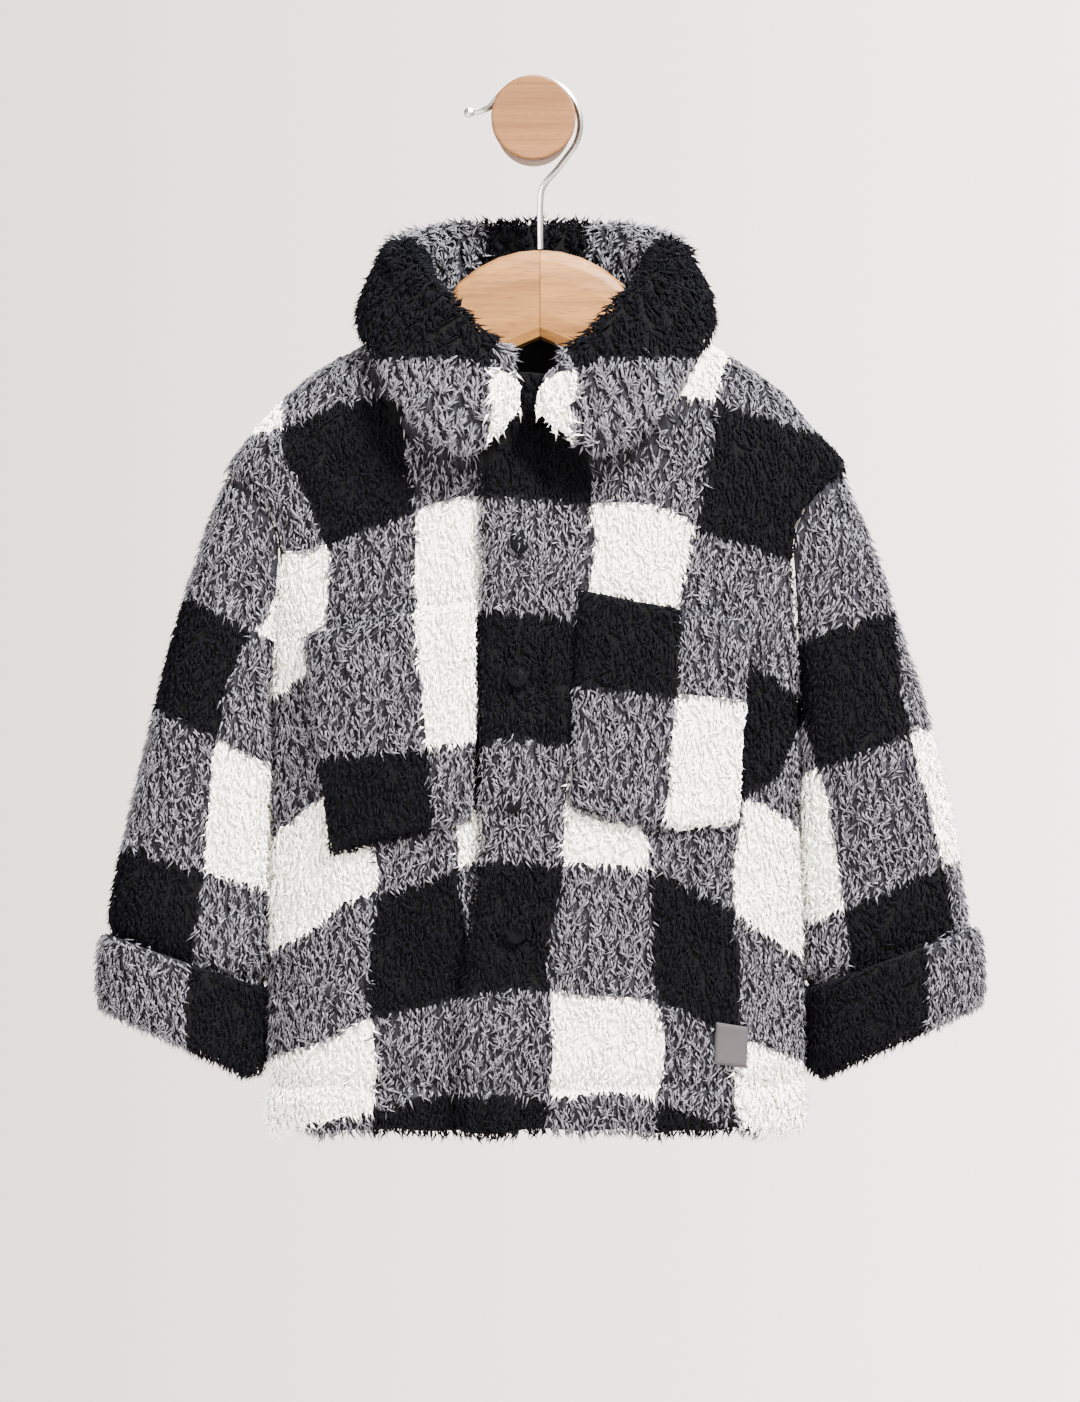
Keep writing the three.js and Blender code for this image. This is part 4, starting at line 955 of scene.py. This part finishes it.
tips = past(np.abs(corner_line), np.abs(over)) * (turn_at > 140)
warp = np.maximum(warp, tips)
row_level = np.interp(turn_at, [0, 60, 90, 120], [-88, -88, -115, -115.3])
falling = smooth(6.2, 7.0, np.arange(grid.shape[1]) / 5)[None]
weft = past(row_level, grid[..., 2]) * falling
collar = cloth_shell("collar_cloth", outer, inner, (warp, weft))
collar.data.polygons.foreach_set("material_index", [0] * len(collar.data.polygons))
lining_only = 1 - smooth(0.3, 1.0, np.arange(grid.shape[1]) / 5)[None] * np.ones_like(from_edge)
crown = bump(np.arange(grid.shape[1]) / 5 - 4, 1.6)[None] * np.ones_like(from_edge)
fur = pile_on("collar_pile", outer, normals, (warp, weft), 1 - lining_only, outward=0.4, stand=crown * 0.9,
              length=6.4, width=0.66, swirl=2.4, tuft=7.0, gather=0.7, finish=soft_pile)
dress(collar, "fleece", "collar")
dress(fur, "fleece")

# Pockets: two patch pockets of one layer of fleece, turned in and sewn to the fronts down
# both sides and along the bottom. Their check was left as it fell and doesn't match.

LAID_ON, POCKET_CLOTH = 0.6, 5.2
# Left end, middle and right end of the top edge and of the bottom edge
POCKET_RIGHT = [[(-108.6, -244.5), (-56.9, -233.7), (-28.5, -229)],
                [(-95.4, -346.5), (-60, -338), (-30.5, -330)]]
POCKET_LEFT = [[(20.7, -223.4), (67.7, -232.8), (99.6, -237.5)],
               [(16, -324.4), (53.6, -333.8), (93.5, -331.5)]]


def patch_spots(corners, across, down):
    """Places seen from the front, between a patch's curved top and bottom edges."""
    t = np.linspace(0, 1, across + 1)[:, None]
    edges = []
    for a, b, c in (np.array(edge, float) for edge in corners):
        pull = 2 * b - (a + c) / 2
        edges.append(a * (1 - t) ** 2 + pull * 2 * t * (1 - t) + c * t ** 2)
    part = np.linspace(0, 1, down + 1)[:, None, None]
    return edges[0][None] * (1 - part) + edges[1][None] * part


def laid_patch(corners, layer, across, down, lift_at, foot):
    """A patch's outer and inner faces on a front; lift_at takes the distance from its rim."""
    spots = patch_spots(corners, across, down)
    x, z = spots[..., 0], spots[..., 1]
    angle = angle_at(x, z)
    size = (np.linalg.norm(spots[0, -1] - spots[0, 0]), np.linalg.norm(spots[-1, 0] - spots[0, 0]))
    u, v = np.meshgrid(np.linspace(0, 1, across + 1), np.linspace(0, 1, down + 1))
    rim = np.minimum(np.minimum(u, 1 - u) * size[0], np.minimum(v, 1 - v) * size[1])
    outer, inner = panel_point(angle, z, layer, lift_at(rim)), panel_point(angle, z, layer, foot)
    return outer, inner, body_normal(angle, z), x, z


def rolled_edge(rim, width):
    """How much of a patch's height its edge has, rounded over a width from its rim."""
    return np.sqrt(1 - (1 - np.clip(rim / width, 0, 1)) ** 2)


for side, name, corners in ((1, "pocket_left", POCKET_LEFT), (-1, "pocket_right", POCKET_RIGHT)):
    round_lift = lambda rim: LAID_ON - 1 + (POCKET_CLOTH - PILE + 1) * rolled_edge(rim, 5)
    layer = "upper" if side > 0 else "lower"
    outer, inner, normals, x, z = laid_patch(corners, layer, 36, 44, round_lift, -2.2)
    if side < 0:
        bound = np.interp(z, [-335, -235], [-46.5, -56.5])
        weft = past(z, -300.9 + (x + 99) / 75 * 7)
    else:
        bound = np.interp(z, [-325, -230], [60.6, 67.7])
        weft = past(-268 - (x - 20) / 75 * 7, z)
    warp = past(x, bound)
    cloth = cloth_shell(f"{name}_cloth", outer, inner, (warp, weft))
    locks = pile_on(f"{name}_pile", outer, normals, (warp, weft))
    dress(cloth, "fleece", name)
    dress(locks, "fleece")

# Label: a small patch of brushed grey-mauve cloth, left bare. It is sewn to the left front
# near the hem, round its edge, which the stitches pull down.

LABEL = [[(84.4, -425.8), (91.4, -427), (98.4, -428.2)], [(83.4, -445.4), (90.4, -446.4), (97.4, -447.4)]]
label_lift = lambda rim: 0.3 + 0.9 * rolled_edge(rim, 1.4)
outer, inner, normals, x, z = laid_patch(LABEL, "upper", 14, 20, label_lift, -2.4)
label = cloth_shell("label_cloth", outer, inner, (0 * x, 0 * x))
suede = Finish("mauve_label")
brushed = suede.noise(suede.place((0, 0, 0), (1400, 1400, 500)), 1.0, 3)
cloudy = suede.noise(suede.place(), 160.0, 2)
mauve = suede.mix(brushed * 0.6 + cloudy * 0.4, ink("#141012"), ink("#21191c"))
suede.looks(mauve, 0.85, brushed, 0.4, 0.0004)
label.data.materials.clear()
label.data.materials.append(suede.material)
label.data.polygons.foreach_set("material_index", [0] * len(label.data.polygons))
dress(label, "label", "label")

# Studs: black enamelled press studs, one cap every six centimetres down the placket.
# They stay fastened, and the pile above each one hangs over its upper edge.

enamel = Finish("black_enamel")
speckle = enamel.noise(enamel.place(), 900.0, 2)
black_cap = enamel.looks(
    enamel.mix(speckle, ink("#020203"), ink("#050507")), speckle * 0.2 + 0.6, specular_ior_level=0.03)
for number in range(1, 5):
    finish_node(f"stud_{number}", black_cap)

# Camera and light: the photograph looks straight at the jacket from about three metres,
# in soft daylight from the front and both sides.

camera = bpy.data.objects.new("camera", bpy.data.cameras.new("camera"))
bpy.context.scene.collection.objects.link(camera)
camera.location = (0.0031, -3.08, -0.2755)
camera.rotation_euler = (np.pi / 2, 0, 0)
camera.data.sensor_width = 36
camera.data.lens = 163.9
camera.data.clip_end = 50
bpy.context.scene.camera = camera

room = bpy.data.worlds.new("room")
bpy.context.scene.world = room
room.use_nodes = True
air = Nodes(room.node_tree)
aside = air.add("ShaderNodeSeparateXYZ", {}, {0: air.add("ShaderNodeTexCoord", {}, {})}, 0)
seen = air.add("ShaderNodeLightPath", {}, {})
tint = air.mix((aside * 5.0 + 0.5).clamped(), ink("#beb0a6"), ink("#fff6f2"))
air.join(tint, room.node_tree.nodes["Background"].inputs["Color"])
air.join(seen * 3.1 + 1.5, room.node_tree.nodes["Background"].inputs["Strength"])


def soft_light(name, place, size, power):
    lamp = bpy.data.objects.new(name, bpy.data.lights.new(name, "AREA"))
    bpy.context.scene.collection.objects.link(lamp)
    lamp.data.size, lamp.data.energy = size, power
    lamp.location = place
    lamp.rotation_euler = (Vector((0, 0, -0.28)) - Vector(place)).to_track_quat("-Z", "Y").to_euler()


soft_light("window", (1.3, -1.9, 2.0), 0.8, 1250)
soft_light("fill", (-2.0, -1.9, 0.2), 1.8, 230)
soft_light("back_fill", (0.6, 2.4, 1.4), 1.8, 320)

FLOOR = 4000
floor_corners = [(-FLOOR, -FLOOR, 0), (FLOOR, -FLOOR, 0), (FLOOR, FLOOR, 0), (-FLOOR, FLOOR, 0)]
floor = new_piece("floor", floor_corners, [(0, 1, 2, 3)])
floor.data.transform(Matrix.Translation((0, 0.054, -1.15)))
pale = Finish("pale_floor")
floor.data.materials.append(pale.looks(
    pale.mix(pale.noise(pale.place(), 3.0), ink("#dcd6d2"), ink("#e2dcd8")), 0.9))
bpy.data.objects.remove(lock)
